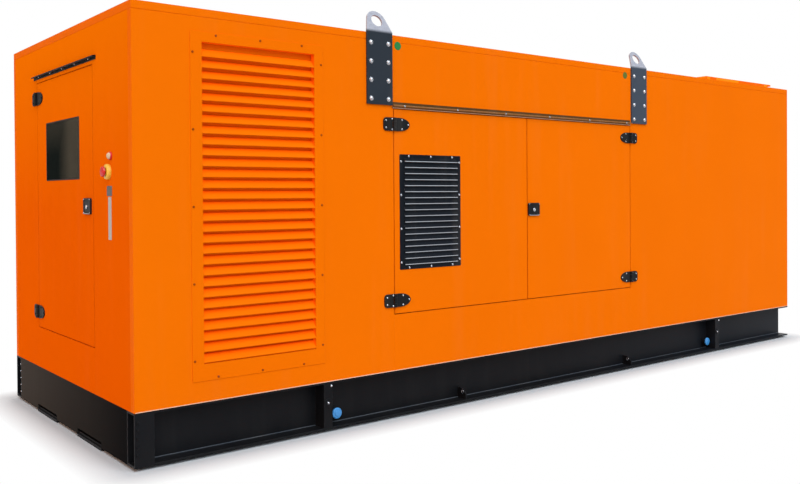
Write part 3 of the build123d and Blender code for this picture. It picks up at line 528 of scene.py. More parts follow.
def hex_bolt(radius, height):
    """A hexagon head over a round washer, with its top edge eased."""
    shape = turned([(0, 0), (radius * 1.2, 0), (radius * 1.15, height * 0.25), (0, height * 0.25)], 14)
    made = bmesh.ops.create_circle(shape, cap_ends=True, radius=radius, segments=6)
    bmesh.ops.translate(shape, vec=(0, 0, height * 0.25), verts=made["verts"])
    face = next(face for face in shape.faces if set(face.verts) == set(made["verts"]))
    lifted = bmesh.ops.extrude_face_region(shape, geom=[face])["geom"]
    top = [item for item in lifted if isinstance(item, bmesh.types.BMVert)]
    bmesh.ops.translate(shape, vec=(0, 0, height * 0.75), verts=top)
    crown = next(item for item in lifted if isinstance(item, bmesh.types.BMFace))
    bmesh.ops.inset_region(shape, faces=[crown], thickness=radius * 0.12)
    bmesh.ops.translate(shape, vec=(0, 0, -height * 0.1), verts=top)
    bmesh.ops.recalc_face_normals(shape, faces=shape.faces)
    return shape


def eased_off(shape, geom, offset, segments, affect):
    """Round off edges or corners."""
    finish = {"segments": segments, "profile": 0.5, "affect": affect, "material": -1}
    bmesh.ops.bevel(shape, geom=geom, offset=offset, **finish)


def plate(width, height, thickness, corner=0.0, eased=0.0, segments=4):
    """A flat plate with rounded corners and an eased front edge."""
    shape = bmesh.new()
    bmesh.ops.create_grid(shape, x_segments=1, y_segments=1, size=0.5)
    bmesh.ops.scale(shape, vec=(width, height, 1), verts=shape.verts)
    if corner:
        eased_off(shape, list(shape.verts), corner, segments, "VERTICES")
    lifted = bmesh.ops.extrude_face_region(shape, geom=list(shape.faces))["geom"]
    top = [item for item in lifted if isinstance(item, bmesh.types.BMVert)]
    bmesh.ops.translate(shape, vec=(0, 0, thickness), verts=top)
    if eased:
        rim = [edge for edge in shape.edges if all(vert in top for vert in edge.verts)]
        eased_off(shape, rim, eased, 2, "EDGES")
    bmesh.ops.recalc_face_normals(shape, faces=shape.faces)
    return shape


def strip(length, width, thickness, corner=0.001, eased=0.0):
    """A long narrow plate with slightly rounded ends."""
    return plate(length, width, thickness, corner, eased, segments=2)


def rounded(points, bend, steps=5):
    """A path of straight runs with its corners turned into short curves."""
    points = [Vector(point) for point in points]
    path = [points[0]]
    for before, corner, after in zip(points, points[1:], points[2:]):
        start = corner + (before - corner).normalized() * bend
        stop = corner + (after - corner).normalized() * bend
        for index in range(steps + 1):
            part = index / steps
            path.append(start * (1 - part) ** 2 + corner * 2 * part * (1 - part) + stop * part**2)
    return path + [points[-1]]


def swept(path, radius, segments=14):
    """A bent steel tube along a path."""
    shape = bmesh.new()
    ways = [(after - before).normalized() for before, after in zip(path, path[1:])]
    ways = [ways[0]] + [(one + two).normalized() for one, two in zip(ways, ways[1:])] + [ways[-1]]
    turn = ways[0].to_track_quat("Z", "Y")
    stand = Matrix.Translation(path[0]) @ turn.to_matrix().to_4x4()
    bmesh.ops.create_circle(shape, cap_ends=False, radius=radius, segments=segments)
    bmesh.ops.transform(shape, matrix=stand, verts=shape.verts)
    rim = list(shape.edges)
    for place, before, after in zip(path[1:], ways, ways[1:]):
        turn = before.rotation_difference(after) @ turn
        following = Matrix.Translation(place) @ turn.to_matrix().to_4x4()
        lifted = bmesh.ops.extrude_edge_only(shape, edges=rim)["geom"]
        moved = [item for item in lifted if isinstance(item, bmesh.types.BMVert)]
        bmesh.ops.transform(shape, matrix=following @ stand.inverted(), verts=moved)
        edges = [item for item in lifted if isinstance(item, bmesh.types.BMEdge)]
        rim = [edge for edge in edges if len(edge.link_faces) == 1]
        stand = following
    bmesh.ops.holes_fill(shape, edges=shape.edges, sides=segments)
    bmesh.ops.recalc_face_normals(shape, faces=shape.faces)
    return shape


def stamped(shape, places):
    """One bmesh with a copy of the shape at each place."""
    pattern = bpy.data.meshes.new("pattern")
    shape.to_mesh(pattern)
    shape.free()
    whole = bmesh.new()
    for place in places:
        known = len(whole.verts)
        whole.from_mesh(pattern)
        whole.verts.ensure_lookup_table()
        bmesh.ops.transform(whole, matrix=place, verts=whole.verts[known:])
    bpy.data.meshes.remove(pattern)
    return whole


SMOOTH_ANGLE = radians(35)


def fit(name, shape, places, material, body="canopy", replaces=()):
    """Put a copy of the shape at each place, as one finished piece that moves with a body."""
    mesh = bpy.data.meshes.new(name)
    copies = stamped(shape, places)
    copies.to_mesh(mesh)
    copies.free()
    mesh.materials.append(material)
    mesh.shade_smooth()
    mesh.set_sharp_from_angle(angle=SMOOTH_ANGLE)
    piece = bpy.data.objects.new(name, mesh)
    scene.collection.objects.link(piece)
    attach(piece, body)
    if replaces:
        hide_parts(*replaces)


SIDES = (("front", on_front), ("back", on_back))
LEAF_SIDES = (("front", on_front, "left_leaf"), ("back", on_back, "canopy"))
CORNERS = ((-1, -1), (-1, 1), (1, -1), (1, 1))

# Louvre panels: painted screws round the edge
panel_low, panel_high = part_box("louvre_panel_front")
panel_sheet = 0.003
panel_columns = spread(panel_low.z + 0.118, panel_high.z - 0.12, 5)
panel_rows = spread(panel_low.x + 0.16, panel_high.x - 0.155, 3)
panel_screws = round_edge(panel_low, panel_high, 0.015, panel_columns, panel_rows)
for side, place in SIDES:
    places = [place(x, z, panel_sheet) for x, z in panel_screws]
    fit(f"louvre_screws_{side}", pan_screw(0.0072, 0.004), places, screw_paint)

# Vent plates: zinc screws round the edge, and pale strips on the lower lips of the slats as painted
# highlights
vent_low, vent_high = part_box("vent_plate_front")
vent_middle = (vent_low + vent_high) / 2
vent_sheet = 0.003
slat_margin, slat_pitch, slat_count = 0.079, 0.041, 18
slat_length = vent_high.x - vent_low.x - slat_margin
lip_drop, lip_out = 0.0065, 0.0138
vent_columns = spread(vent_low.z + 0.048, vent_high.z - 0.048, 4)
vent_rows = spread(vent_low.x + slat_margin, vent_high.x - slat_margin, 3)
vent_screws = round_edge(vent_low, vent_high, 0.012, vent_columns, vent_rows)
lowest_lip = vent_middle.z - (slat_count - 1) / 2 * slat_pitch - lip_drop
lip_levels = [lowest_lip + index * slat_pitch for index in range(slat_count)]
for side, place, body in LEAF_SIDES:
    screws = [place(x, z, vent_sheet) for x, z in vent_screws]
    lips = [place(vent_middle.x, level, lip_out) for level in lip_levels]
    fit(f"vent_screws_{side}", pan_screw(0.008, 0.004), screws, zinc, body)
    fit(f"vent_lip_highlights_{side}", strip(slat_length + 0.006, 0.0045, 0.0015, 0.002), lips, lip_highlight_paint, body)

# Hinges: screws in the frame plate and along the leaf plate
hinge_sheet = 0.008
hinge_inset = 0.0445
seam_half = 0.003
frame_screws = ((-0.068, 0.024), (-0.068, -0.024), (-0.017, 0.035), (-0.017, -0.035))
leaf_screws = ((0.066, 0.031), (0.066, -0.031), (0.119, 0.0))
side_low, side_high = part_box("front_hinge_frames")
side_levels = (side_low.z + hinge_inset, side_high.z - hinge_inset)
left_pivot = door_low.x - seam_half
right_pivot = door_high.x + seam_half
end_low, end_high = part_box("control_hinge_frames")
end_levels = (end_low.z + hinge_inset, end_high.z - hinge_inset)
end_pivot = end_door_high.y + seam_half
hinge_sets = (
    ("front_left", on_front, left_pivot, side_levels, 1, "left_leaf", zinc),
    ("front_right", on_front, right_pivot, side_levels, -1, "right_leaf", zinc),
    ("end", on_end, end_pivot, end_levels, -1, "end_leaf", hinge_black),
    ("back_left", on_back, left_pivot, side_levels, 1, "canopy", zinc),
    ("back_right", on_back, right_pivot, side_levels, -1, "canopy", zinc),
)
for name, place, pivot, levels, direction, body, finish in hinge_sets:
    for half, offsets, carrier in (("frame", frame_screws, "canopy"), ("leaf", leaf_screws, body)):
        places = [
            place(pivot + direction * across, level + up, hinge_sheet)
            for level in levels
            for across, up in offsets
        ]
        fit(f"hinge_screws_{name}_{half}", pan_screw(0.0065, 0.0035), places, finish, carrier)

# Lifting brackets: two columns of domed nuts
bracket_sheet = 0.012
nut_column = 0.071
for side, place in SIDES:
    for end in ("left", "right"):
        low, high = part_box(f"lifting_bracket_{side}_{end}")
        middle = (low.x + high.x) / 2
        levels = spread(low.z + 0.037, low.z + 0.403, 4)
        columns = (middle - nut_column, middle + nut_column)
        places = [place(x, z, bracket_sheet) for x in columns for z in levels]
        fit(f"bracket_nuts_{side}_{end}", dome_bolt(0.0165, 0.0109), places, zinc)

# Rain rails: bolts, a pale strip along the drip lip as a painted highlight, and a bronze flange against the
# wall
rail_low, rail_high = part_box("front_rain_rail")
rail_middle = (rail_low.x + rail_high.x) / 2
rail_length = rail_high.x - rail_low.x - 0.004
rail_bolts = spread(rail_low.x + 0.094, rail_high.x - 0.072, 6)
for side, place in SIDES:
    bolts = [place(x, rail_low.z + 0.0165, 0.022) for x in rail_bolts]
    lip = [place(rail_middle, rail_low.z + 0.0016, 0.004)]
    flange = [place(rail_middle, rail_high.z + 0.007, 0.0002)]
    fit(f"rail_bolts_{side}", pan_screw(0.0075, 0.0009), bolts, zinc)
    fit(f"rail_lip_highlight_{side}", strip(rail_length, 0.003, 0.0008), lip, edge_highlight_paint)
    fit(f"rail_flange_{side}", strip(rail_length, 0.018, 0.002), flange, flange_bronze)
end_rail_low, end_rail_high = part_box("control_rain_rail")
end_rail_ys = spread(end_rail_low.y + 0.12, end_rail_high.y - 0.12, 5)
end_rail_places = [on_end(y, end_rail_high.z - 0.01, 0.004) for y in end_rail_ys]
fit("end_rail_bolts", pan_screw(0.006, 0.004), end_rail_places, zinc)

# Plain paint marks high on the long side
mark_green = coated("green mark", (0.01, 0.16, 0.03), (0.012, 0.2, 0.04), roughness=0.5)
mark_olive = coated("olive mark", (0.1, 0.13, 0.01), (0.12, 0.15, 0.02), roughness=0.5)
mark_size = 0.056
mark_level = roof_top - 0.068
for name, x, material in (("green", -1.651, mark_green), ("olive", 0.788, mark_olive)):
    disc = plate(mark_size, mark_size, 0.0008, corner=0.0279, segments=8)
    fit(f"mark_{name}", disc, [on_front(x, mark_level, 0.0002)], material)

# Latches: screws in the corners, a pale strip below as a painted highlight, and a lock cylinder in each
# paddle
latch_sheet = 0.012
cylinder = [(0, 0), (0.013, 0), (0.013, 0.004), (0.011, 0.006), (0.004, 0.006), (0.003, 0.003), (0, 0.003)]
latch_sets = (
    ("side", "front_latch_housing", on_front, 0, "right_leaf", "side_paddle"),
    ("end", "control_latch_housing", on_end, 1, "end_leaf", "end_paddle"),
    ("back", "back_latch", on_back, 0, "canopy", None),
)
for name, node, place, axis, body, paddle in latch_sets:
    low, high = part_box(node)
    across = (low[axis] + high[axis]) / 2
    level = (low.z + high.z) / 2
    corners = [place(across + right * 0.0525, level + up * 0.0405, latch_sheet) for right, up in CORNERS]
    lip = [place(across, low.z + 0.0035, latch_sheet)]
    fit(f"latch_screws_{name}", pan_screw(0.0038, 0.0022), corners, zinc, body)
    fit(f"latch_lip_highlight_{name}", strip(0.1, 0.004, 0.001, 0.0015), lip, lip_highlight_paint, body)
    if paddle:
        lock = [place(across, level - 0.004, 0.01)]
        fit(f"lock_cylinder_{name}", turned(cylinder, 20), lock, zinc, paddle)

# Weld beads between web and flange, coloured lighter as a painted highlight, and a pale strip along the
# fold under the canopy as a painted highlight
bead_level = base_bottom + 0.0147
gusset_half = 0.034
near_gusset, far_gusset = gusset_spots
bead_runs = (
    (end_x + 0.115, near_gusset - gusset_half),
    (near_gusset + gusset_half, far_gusset - gusset_half),
    (far_gusset + gusset_half, far_x - 0.004),
)
for side, place in SIDES:
    for number, (start, stop) in enumerate(bead_runs, 1):
        bead = strip(stop - start, 0.005, 0.003, 0.0015, eased=0.001)
        line = [place((start + stop) / 2, bead_level, -web_inset)]
        fit(f"weld_bead_{side}_{number}", bead, line, bead_highlight_paint)
    fold = [place((end_x + far_x) / 2, base_top + 0.003)]
    fit(f"fold_highlight_{side}", strip(far_x - end_x - 0.01, 0.004, 0.0012), fold, edge_highlight_paint)

# Base frame: plain discs and bolts on the gussets, lugs and corner plates
disc_level, bolt_level = base_bottom + 0.17, base_bottom + 0.275
gusset_disc = [(0, 0), (0.029, 0), (0.029, 0.002), (0.027, 0.003)]
gusset_disc += [(0.012, 0.003), (0.011, 0.001), (0, 0.001)]
lug_disc = [(0, 0), (0.016, 0), (0.016, 0.003), (0.013, 0.004), (0.006, 0.004), (0.005, 0.001), (0, 0.001)]
for side, place in SIDES:
    corner = [place(end_x + 0.019, base_bottom + up) for up in (0.071, 0.113, 0.161, 0.204, 0.247)]
    discs = [place(x, disc_level) for x in gusset_spots]
    bolts = [place(x + 0.024, bolt_level) for x in gusset_spots]
    bolts += [place(x, disc_level, 0.002) for x in gusset_spots]
    fit(f"corner_bolts_{side}", hex_bolt(0.009, 0.007), corner, base_paint)
    fit(f"gusset_discs_{side}", turned(gusset_disc, 20), discs, base_paint)
    fit(f"gusset_bolts_{side}", pan_screw(0.008, 0.005), bolts, zinc)

# Domed caps on short pipes, over the plain CAD ones
cap_low, cap_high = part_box("base_caps")
cap_radius = (cap_high.z - cap_low.z) / 2
cap_level = (cap_high.z + cap_low.z) / 2
cap_reach, cap_depth, cap_rim = 0.055, 0.014, 0.008
cap_seat = cap_reach - cap_depth
cap_profile = [(0, cap_seat), (cap_radius, cap_seat), (cap_radius, cap_reach - cap_rim)]
cap_profile += [
    (cap_radius - cap_rim * (1 - cos(angle)), cap_reach - cap_rim + 0.005 * sin(angle))
    for angle in (pi / 6, pi / 3, pi / 2)
]
cap_profile += [(cap_radius * 0.55, cap_reach - 0.003), (cap_radius * 0.5, cap_reach - 0.0005)]
cap_profile += [(0, cap_reach)]
pipe_radius = cap_radius - 0.004
pipe_profile = [(0, 0), (pipe_radius, 0), (pipe_radius, cap_seat), (0, cap_seat)]
cap_xs = (cap_low.x + cap_radius, cap_high.x - cap_radius)
cap_places = [place(x, cap_level, -web_inset) for place in (on_front, on_back) for x in cap_xs]
domed_cap = turned(cap_profile, 28)
fit("blue_plugs", domed_cap, cap_places, cap_plastic, replaces=("base_caps",))
fit("drain_pipes", turned(pipe_profile, 24), cap_places, base_paint)
pocket_y = 1.05
for name, y, material in (("near", -pocket_y, base_paint), ("far", pocket_y, zinc)):
    places = [on_end(y, base_bottom + up) for up in (0.05, 0.1, 0.15, 0.2, 0.25)]
    fit(f"pocket_bolts_{name}", pan_screw(0.0045, 0.003), places, material)
lug_places = [along(x - 0.005, front_y + 0.05, base_bottom + 0.06, way=-1) for x in lug_spots]
fit("lug_discs", turned(lug_disc, 18), lug_places, zinc)

# Emergency stop: collar with an eased rim and a mushroom with a crowned top
collar_low, collar_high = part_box("stop_collar")
button_low, button_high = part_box("stop_button")
stop_place = [on_end((collar_low.y + collar_high.y) / 2, (collar_low.z + collar_high.z) / 2)]
collar_radius = (collar_high.y - collar_low.y) / 2
collar_depth = end_x - collar_low.x
collar_bore = 0.0125
collar_outline = ((1, 0), (1, 0.55), (0.93, 0.85), (0.82, 1))
collar = [(collar_radius * out, collar_depth * up) for out, up in collar_outline]
collar = [(collar_bore, 0), *collar, (collar_bore, collar_depth), (collar_bore, 0)]
button_radius = (button_high.y - button_low.y) / 2
button_top = end_x - button_low.x
button_base = button_top - 0.016
stem_radius = 0.012
crown = ((0.86, 0), (1, 0.003), (1, 0.007), (0.9, 0.012), (0.6, 0.0148), (0.25, 0.0158))
mushroom = [(0, 0.001), (stem_radius, 0.001), (stem_radius, button_base)]
mushroom += [(button_radius * out, button_base + up) for out, up in crown]
mushroom += [(0, button_top)]
stops = (
    ("stop_collar_eased", collar, stop_yellow, "canopy", "stop_yellow", "stop_collar"),
    ("stop_mushroom", mushroom, stop_red, "emergency_button", "stop_red", "stop_button"),
)
for name, profile, material, body, slot, node in stops:
    fit(name, turned(profile, 36), stop_place, material, body, replaces=(node,))

# Plain plates under the stop button, and a small lamp with a red rim over it
plate_grey = coated(
    "grey plate", (0.1, 0.105, 0.11), (0.12, 0.125, 0.13),
    roughness=0.4, worn=(0.3, 0.3, 0.3),
)
plate_pale = coated(
    "pale plate", (0.42, 0.42, 0.38), (0.5, 0.5, 0.46),
    roughness=0.4, worn=(0.6, 0.6, 0.6),
)
lens_pale = coated("pale lens", (0.62, 0.5, 0.32), (0.58, 0.46, 0.3), roughness=0.3)
lamp_place = [on_end(-0.835, 1.733)]
lamp_rim = [(0, 0), (0.024, 0), (0.024, 0.007), (0.022, 0.01)]
lamp_rim += [(0.0195, 0.01), (0.0195, 0.004), (0, 0.004)]
lamp_dome = [(0, 0.004), (0.0192, 0.004), (0.0192, 0.012), (0.016, 0.018), (0.009, 0.0225), (0, 0.024)]
fit("plate_small", plate(0.08, 0.058, 0.001, 0.004), [on_end(-0.81, 1.533)], plate_grey)
fit("plate_strip", plate(0.05, 0.246, 0.001, 0.004), [on_end(-0.815, 1.376)], plate_pale)
fit("lamp_rim", turned(lamp_rim, 24), lamp_place, stop_red)
fit("lamp_dome", turned(lamp_dome, 24), lamp_place, lens_pale)

# Sound lining: quilted panels held by washers on the inner faces of doors, walls and roof
lining_depth = 0.028
pin_pitch = 0.42
wall_sheet, leaf_sheet = 0.05, 0.045
inner_front, inner_back = front_y + wall_sheet, back_y - wall_sheet
door_inside = front_y + leaf_sheet
door_middle, wall_middle = 1.3895, 1.42
door_height, wall_height = 1.25, 2.0
INTO_BACK, INTO_FRONT = ((-1, 0, 0), (0, 0, 1)), ((1, 0, 0), (0, 0, 1))
INTO_FAR, INTO_NEAR, DOWNWARD = ((0, 1, 0), (0, 0, 1)), ((0, -1, 0), (0, 0, 1)), ((1, 0, 0), (0, -1, 0))
linings = [
    ("left_door", "left_leaf", (-0.765, door_inside, door_middle), INTO_BACK, 0.59, door_height),
    ("right_door", "right_leaf", (0.223, door_inside, door_middle), INTO_BACK, 1.134, door_height),
    ("end_door_low", "end_leaf", (end_door_high.x, 0.0175, 1.11), INTO_FAR, 0.98, 0.82),
    ("end_door_high", "end_leaf", (end_door_high.x, 0.0175, 2.14), INTO_FAR, 0.98, 0.16),
    ("header", "canopy", (-0.4185, inner_front, 2.3), INTO_BACK, 2.4, 0.33),
]
walls = [
    ("intake", -1.975, inner_front, INTO_BACK, 0.4),
    ("front_far", 2.145, inner_front, INTO_BACK, 2.44),
    ("far_end", far_x - wall_sheet, 0, INTO_NEAR, 2.0),
    ("back_near", -1.96, inner_back, INTO_FRONT, 0.44),
]
for number, x in enumerate(spread(-0.45, 2.82, 4), 1):
    walls.append((f"back_{number}", x, inner_back, INTO_FRONT, 1.06))
for name, x, y, way, width in walls:
    linings.append((name, "canopy", (x, y, wall_middle), way, width, wall_height))
for number, x in enumerate(spread(-2.7, 1.15, 4), 1):
    linings.append((f"roof_{number}", "canopy", (x, 0, wall_top), DOWNWARD, 1.24, 1.98))
washer = [(0, 0), (0.02, 0), (0.019, 0.002), (0.006, 0.004), (0, 0.0045)]
for name, body, place, (right, up), width, height in linings:
    stand = facing(place, right, up)
    columns = max(2, round(width / pin_pitch) + 1)
    rows = max(2, round(height / pin_pitch) + 1)
    pins = [
        stand @ Matrix.Translation((x, y, lining_depth - 0.001))
        for x in spread(0.06 - width / 2, width / 2 - 0.06, columns)
        for y in spread(0.05 - height / 2, height / 2 - 0.05, rows)
    ]
    quilt = plate(width, height, lining_depth, corner=0.02, eased=0.009)
    fit(f"lining_{name}", quilt, [stand], lining_foam, body)
    fit(f"lining_pins_{name}", turned(washer, 12), pins, zinc, body)

# Engine: rocker covers on its heads, exhaust manifolds, filters and pulleys
engine_low, engine_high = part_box("engine")
engine_middle = (engine_low.x + engine_high.x) / 2
shaft_z = base_top + 0.76
fan_z = 1.36
bank = radians(35)
head_rise = 0.82
head_count, head_pitch = 6, 0.34
heads_half = (head_count - 1) / 2 * head_pitch
head_xs = spread(engine_middle - heads_half, engine_middle + heads_half, head_count)
cover_places = []
for side in (-1, 1):
    normal = Vector((0, side * sin(bank), cos(bank)))
    across = Vector((0, cos(bank), -side * sin(bank)))
    for x in head_xs:
        cover_places.append(facing(Vector((x, 0, shaft_z)) + normal * head_rise, (1, 0, 0), across))
bolt_seats = [Matrix.Translation((right * 0.085, up * 0.07, 0.045)) for right, up in CORNERS]
cover_bolts = [place @ seat for place in cover_places for seat in bolt_seats]
fit("rocker_covers", plate(0.25, 0.215, 0.046, corner=0.03, eased=0.012), cover_places, machine_grey)
fit("rocker_bolts", hex_bolt(0.011, 0.01), cover_bolts, zinc)
rust = coated(
    "heated iron", (0.16, 0.085, 0.055), (0.11, 0.065, 0.05),
    roughness=0.6, worn=(0.3, 0.2, 0.15), relief=0.0008,
)
pipe, flange, manifold_length = 0.062, 0.078, 1.85
manifold = [(0, 0), (pipe, 0)]
for number in range(head_count):
    start = 0.05 + number * head_pitch
    stop = start + 0.024
    manifold += [(pipe, start), (flange, start), (flange, stop), (pipe, stop)]
manifold += [(pipe, manifold_length), (0, manifold_length)]
manifold_places = [along(head_xs[0] - 0.075, side * 0.545, 1.46) for side in (-1, 1)]
fit("exhaust_manifolds", turned(manifold, 20), manifold_places, rust)
filter_paint = coated(
    "pale filter", (0.62, 0.6, 0.54), (0.56, 0.54, 0.48),
    roughness=0.35, worn=(0.8, 0.8, 0.8),
)
canister = [(0, 0), (0.03, 0), (0.046, 0.012), (0.048, 0.03), (0.048, 0.205), (0.044, 0.222)]
canister += [(0.055, 0.224), (0.055, 0.25), (0.03, 0.252), (0, 0.252)]
filter_places = [
    Matrix.Translation((x, side * 0.5, 0.78)) for side in (-1, 1) for x in (-0.62, -0.5, -0.38)
]
fit("oil_filters", turned(canister, 20), filter_places, filter_paint)
pulley = [(0, 0), (0.1, 0), (0.165, 0.012), (0.165, 0.03), (0.15, 0.042), (0.165, 0.054), (0.165, 0.072)]
pulley += [(0.15, 0.084), (0.165, 0.096), (0.165, 0.11), (0.1, 0.112), (0.05, 0.08), (0, 0.08)]
pulley_places = [along(engine_high.x, 0, z) for z in (shaft_z - 0.02, fan_z)]
fit("pulleys", turned(pulley, 36), pulley_places, machine_grey)

# Fan in the radiator's shroud, and fins on both faces of the core
fan_x = 1.215
blade_count, blade_radius, blade_angle = 8, 0.385, radians(40)
hub = [(0, -0.32), (0.04, -0.32), (0.04, -0.06), (0.11, -0.055), (0.13, -0.03)]
hub += [(0.13, 0.03), (0.09, 0.05), (0, 0.05)]
blade = facing((0, 0, blade_radius), (sin(blade_angle), cos(blade_angle), 0), (0, 0, 1))
blade_places = [
    Matrix.Translation((fan_x, 0, fan_z)) @ Matrix.Rotation(number * 2 * pi / blade_count, 4, "X") @ blade
    for number in range(blade_count)
]
fit("fan_hub", turned(hub, 30), [along(fan_x, 0, fan_z)], machine_grey)
fit("fan_blades", plate(0.2, 0.56, 0.006, corner=0.05, eased=0.0015), blade_places, cabinet_grey)
core_low, core_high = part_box("radiator")
core_inset = 0.03
core_faces = (("near", core_low.x + core_inset, INTO_NEAR), ("far", core_high.x - core_inset, INTO_FAR))
for name, x, (right, up) in core_faces:
    fins = [facing((x, y, fan_z), right, up) for y in spread(-0.82, 0.82, 66)]
    fit(f"core_fins_{name}", plate(0.009, 1.54, 0.004), fins, machine_grey)

# Rigid coolant and charge-air pipes, and the two turbochargers
header_x = 1.32
coolant_runs = [
    ((0.7, 0.2, 1.42), (0.7, 0.2, 2.02), (header_x, 0.2, 2.22)),
    ((0.7, -0.2, 1.42), (0.7, -0.2, 2.02), (header_x, -0.2, 2.22)),
    ((0.78, 0.3, 0.78), (1.0, 0.3, 0.7), (header_x, 0.3, 0.5)),
]
for number, run in enumerate(coolant_runs, 1):
    fit(f"coolant_pipe_{number}", swept(rounded(run, 0.14), 0.042), [Matrix()], radiator_black)
turbo_y = 0.17
for number, side in enumerate((-1, 1), 1):
    near, far = side * turbo_y, side * 0.48
    run = [(-1.3, near, 1.66), (-1.3, near, 2.06), (0.3, near, 2.06)]
    run += [(1.0, far, 2.1), (header_x, far, 2.1)]
    fit(f"charge_pipe_{number}", swept(rounded(run, 0.12), 0.055), [Matrix()], cabinet_grey)
snail = [(0, 0), (0.1, 0), (0.13, 0.02), (0.15, 0.05), (0.15, 0.09)]
snail += [(0.13, 0.12), (0.08, 0.13), (0.075, 0.2), (0.06, 0.205), (0, 0.19)]
turbo_places = [along(-1.4, side * turbo_y, 1.62, way=-1) for side in (-1, 1)]
fit("turbochargers", turned(snail, 30), turbo_places, rust)

# Alternator: bands round the frame, an end shield with its bearing cap, and the terminal box
alt_low, alt_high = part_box("alternator")
alt_radius = alt_high.z - shaft_z
band_inner, band_outer = alt_radius - 0.004, alt_radius + 0.012
band = [(band_inner, 0), (band_outer, 0.002), (band_outer, 0.022), (band_inner, 0.024)]
band_places = [along(x, 0, shaft_z) for x in spread(alt_low.x + 0.06, alt_low.x + 0.96, 7)]
shield = [(0, 0.075), (0.09, 0.075), (0.11, 0.05), (0.13, 0.045), (0.3, 0.03)]
shield += [(0.4, 0.02), (0.41, 0), (0, 0)]
box_height, lid_sheet = 0.3, 0.012
terminal_place = Matrix.Translation((alt_low.x + 0.45, 0, shaft_z + alt_radius - 0.05))
lid_place = terminal_place @ Matrix.Translation((0, 0, box_height))
lid_bolts = [
    lid_place @ Matrix.Translation((x, y, lid_sheet)) for x in (-0.29, 0, 0.29) for y in (-0.26, 0.26)
]
fit("alternator_bands", turned(band, 48), band_places, machine_grey)
fit("alternator_shield", turned(shield, 40), [along(alt_low.x, 0, shaft_z, way=-1)], machine_grey)
fit("terminal_box", plate(0.62, 0.56, box_height, corner=0.02, eased=0.006), [terminal_place], machine_grey)
fit("terminal_lid", plate(0.65, 0.59, lid_sheet, corner=0.02, eased=0.003), [lid_place], cabinet_grey)
fit("terminal_bolts", hex_bolt(0.009, 0.008), lid_bolts, zinc)

# Control cabinet: door, handle, hinges, and a dark panel with a plain screen, keys and lamps
cab_low, cab_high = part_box("control_cabinet")
cab_y, cab_z = (cab_low.y + cab_high.y) / 2, (cab_low.z + cab_high.z) / 2
panel_y, panel_z = 0.04, 1.8
door_out = 0.016
panel_out = door_out + 0.012


def on_cabinet(y, z, out=0.0):
    return on_end(y, z, end_x - cab_low.x + out)


screen_paint = coated("dark screen", (0.05, 0.08, 0.06), (0.045, 0.07, 0.055), roughness=0.15, dust=0.0)
key = [(0, 0), (0.011, 0), (0.011, 0.005), (0.009, 0.007), (0, 0.007)]
lamp = [(0, 0), (0.014, 0), (0.014, 0.006), (0.011, 0.009), (0.009, 0.014), (0, 0.017)]
knob = [(0, 0), (0.022, 0), (0.022, 0.008), (0.012, 0.012)]
knob += [(0.012, 0.026), (0.016, 0.034), (0.012, 0.04), (0, 0.041)]
barrel = [(0, 0), (0.009, 0), (0.01, 0.004), (0.01, 0.076), (0.009, 0.08), (0, 0.08)]
screen_place = [on_cabinet(panel_y, panel_z + 0.06, panel_out)]
key_places = [on_cabinet(panel_y + y, panel_z - 0.05, panel_out) for y in spread(-0.14, 0.14, 6)]
lamp_places = [on_cabinet(panel_y + y, panel_z - 0.115, panel_out) for y in (-0.14, -0.07, 0.07, 0.14)]
barrel_x, barrel_y = cab_low.x - 0.016, cab_high.y - 0.035
barrel_places = [Matrix.Translation((barrel_x, barrel_y, z)) for z in (0.5, 1.18, 1.86)]
cabinet_door = plate(0.82, 1.7, door_out, corner=0.012, eased=0.003)
cabinet_panel = plate(0.46, 0.34, panel_out - door_out, corner=0.012, eased=0.003)
cabinet_screen = plate(0.2, 0.12, 0.003, corner=0.006, eased=0.001)
fit("cabinet_door", cabinet_door, [on_cabinet(cab_y, cab_z)], cabinet_grey)
fit("cabinet_panel", cabinet_panel, [on_cabinet(panel_y, panel_z, door_out)], latch_black)
fit("cabinet_screen", cabinet_screen, screen_place, screen_paint)
fit("cabinet_keys", turned(key, 16), key_places, cabinet_grey)
fit("cabinet_lamps", turned(lamp, 20), lamp_places, lens_pale)
fit("cabinet_handle", turned(knob, 20), [on_cabinet(cab_low.y + 0.09, 1.25, door_out)], latch_black)
fit("cabinet_hinges", turned(barrel, 14), barrel_places, latch_black)

# Floor and backdrop: matt near the machine, for its shadow, and plain white further out
floor_mesh = bpy.data.meshes.new("floor")
floor_shape = bmesh.new()
bmesh.ops.create_grid(floor_shape, x_segments=1, y_segments=1, size=60)
floor_shape.to_mesh(floor_mesh)
floor_shape.free()
floor = bpy.data.objects.new("floor", floor_mesh)
scene.collection.objects.link(floor)
floor_paint, studio = new_material("studio floor")
studio.nodes.clear()


def beyond(axis, edge):
    """The squared distance on the floor past an edge of the machine."""
    across = calc(studio, "ABSOLUTE", part_of(studio, object_vector(studio), axis))
    past = calc(studio, "MAXIMUM", calc(studio, "SUBTRACT", across, edge), 0.0)
    return calc(studio, "POWER", past, 2)


away = calc(studio, "SQRT", calc(studio, "ADD", beyond("X", far_x), beyond("Y", back_y)))
bright = put(studio, "Emission", {"Color": WHITE, "Strength": 1.0})
matt = put(studio, "BsdfDiffuse", {"Color": (0.54, 0.545, 0.545, 1)})
to_camera = put(studio, "LightPath").outputs["Is Camera Ray"]
white = calc(studio, "MULTIPLY", ramp(studio, away, 0.04, 0.27), to_camera)
blend = put(studio, "MixShader", {0: white, 1: matt.outputs[0], 2: bright.outputs[0]})
put(studio, "OutputMaterial", {"Surface": blend.outputs[0]})
floor_mesh.materials.append(floor_paint)

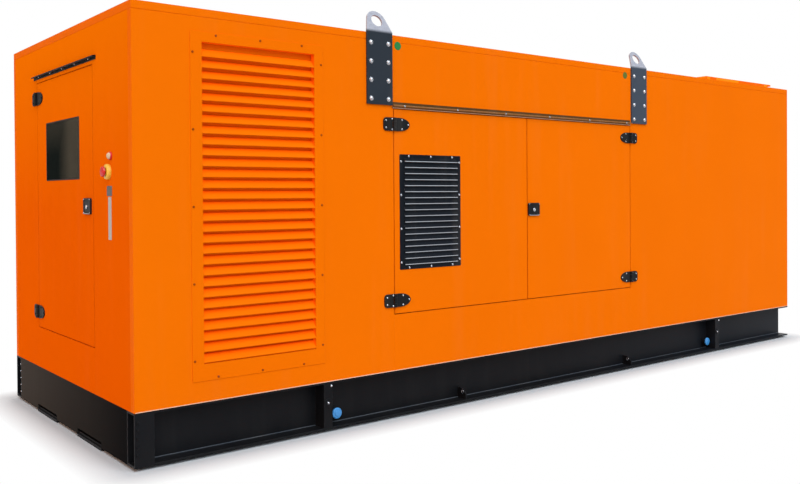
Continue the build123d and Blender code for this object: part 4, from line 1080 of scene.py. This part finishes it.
# Light: a pale surround that shows white, three soft suns and a large box overhead
world = bpy.data.worlds.new("studio")
scene.world = world
world.use_nodes = True
sky = world.node_tree
sky.nodes.clear()
seen = put(sky, "Background", {"Color": WHITE, "Strength": 1.0})
lit = put(sky, "Background", {"Color": (0.95, 0.98, 1.0, 1), "Strength": 0.4})
is_seen = put(sky, "LightPath").outputs["Is Camera Ray"]
both = put(sky, "MixShader", {0: is_seen, 1: lit.outputs[0], 2: seen.outputs[0]})
put(sky, "OutputWorld", {"Surface": both.outputs[0]})


def shine(name, kind, travel, place=(0, 0, 0), **settings):
    """A light of one kind that shines along a direction."""
    light = bpy.data.lights.new(name, kind)
    for key, value in settings.items():
        setattr(light, key, value)
    lamp = bpy.data.objects.new(name, light)
    way = Vector(travel).to_track_quat("-Z", "Y").to_matrix().to_4x4()
    lamp.matrix_world = Matrix.Translation(place) @ way
    scene.collection.objects.link(lamp)


wide, narrower = radians(60), radians(50)
shine("key", "SUN", (0.05, 0.7, -0.7), energy=2.75, angle=wide, color=(0.88, 1.0, 1.12))
shine("end_key", "SUN", (0.9, 0.1, -0.35), energy=1.4, angle=narrower, color=(1.0, 0.55, 0.35))
shine("back_fill", "SUN", (-0.45, -0.75, -0.45), energy=1.5, angle=wide, color=(1.0, 0.98, 0.95))
shine("overhead", "AREA", (0, 0, -1), (0, 0, 10), shape="RECTANGLE", size=16, size_y=10, energy=300)

# Camera fitted to the photograph: heading from +Y towards +X, tilt, roll and focal length in pixels
picture_width = 800
camera_place = Vector((-5.2714, -5.7827, 1.4991))
heading, tilt, roll = radians(38.788), radians(-0.58), radians(-0.353)
focal_pixels = 873.905
centre_right, centre_down = 10.112, -38.085
forward = Vector((sin(heading) * cos(tilt), cos(heading) * cos(tilt), sin(tilt)))
level = Vector((cos(heading), -sin(heading), 0))
upright = level.cross(forward)
right_axis = cos(roll) * level + sin(roll) * upright
up_axis = -sin(roll) * level + cos(roll) * upright
camera_data = bpy.data.cameras.new("camera")
camera_data.sensor_width = 36
camera_data.lens = focal_pixels / picture_width * camera_data.sensor_width
camera_data.shift_x = -centre_right / picture_width
camera_data.shift_y = centre_down / picture_width
camera_data.clip_end = 500
camera = bpy.data.objects.new("camera", camera_data)
turn = Matrix((right_axis, up_axis, -forward)).transposed().to_4x4()
camera.matrix_world = Matrix.Translation(camera_place) @ turn
scene.collection.objects.link(camera)
scene.camera = camera
scene.view_settings.view_transform = "Standard"
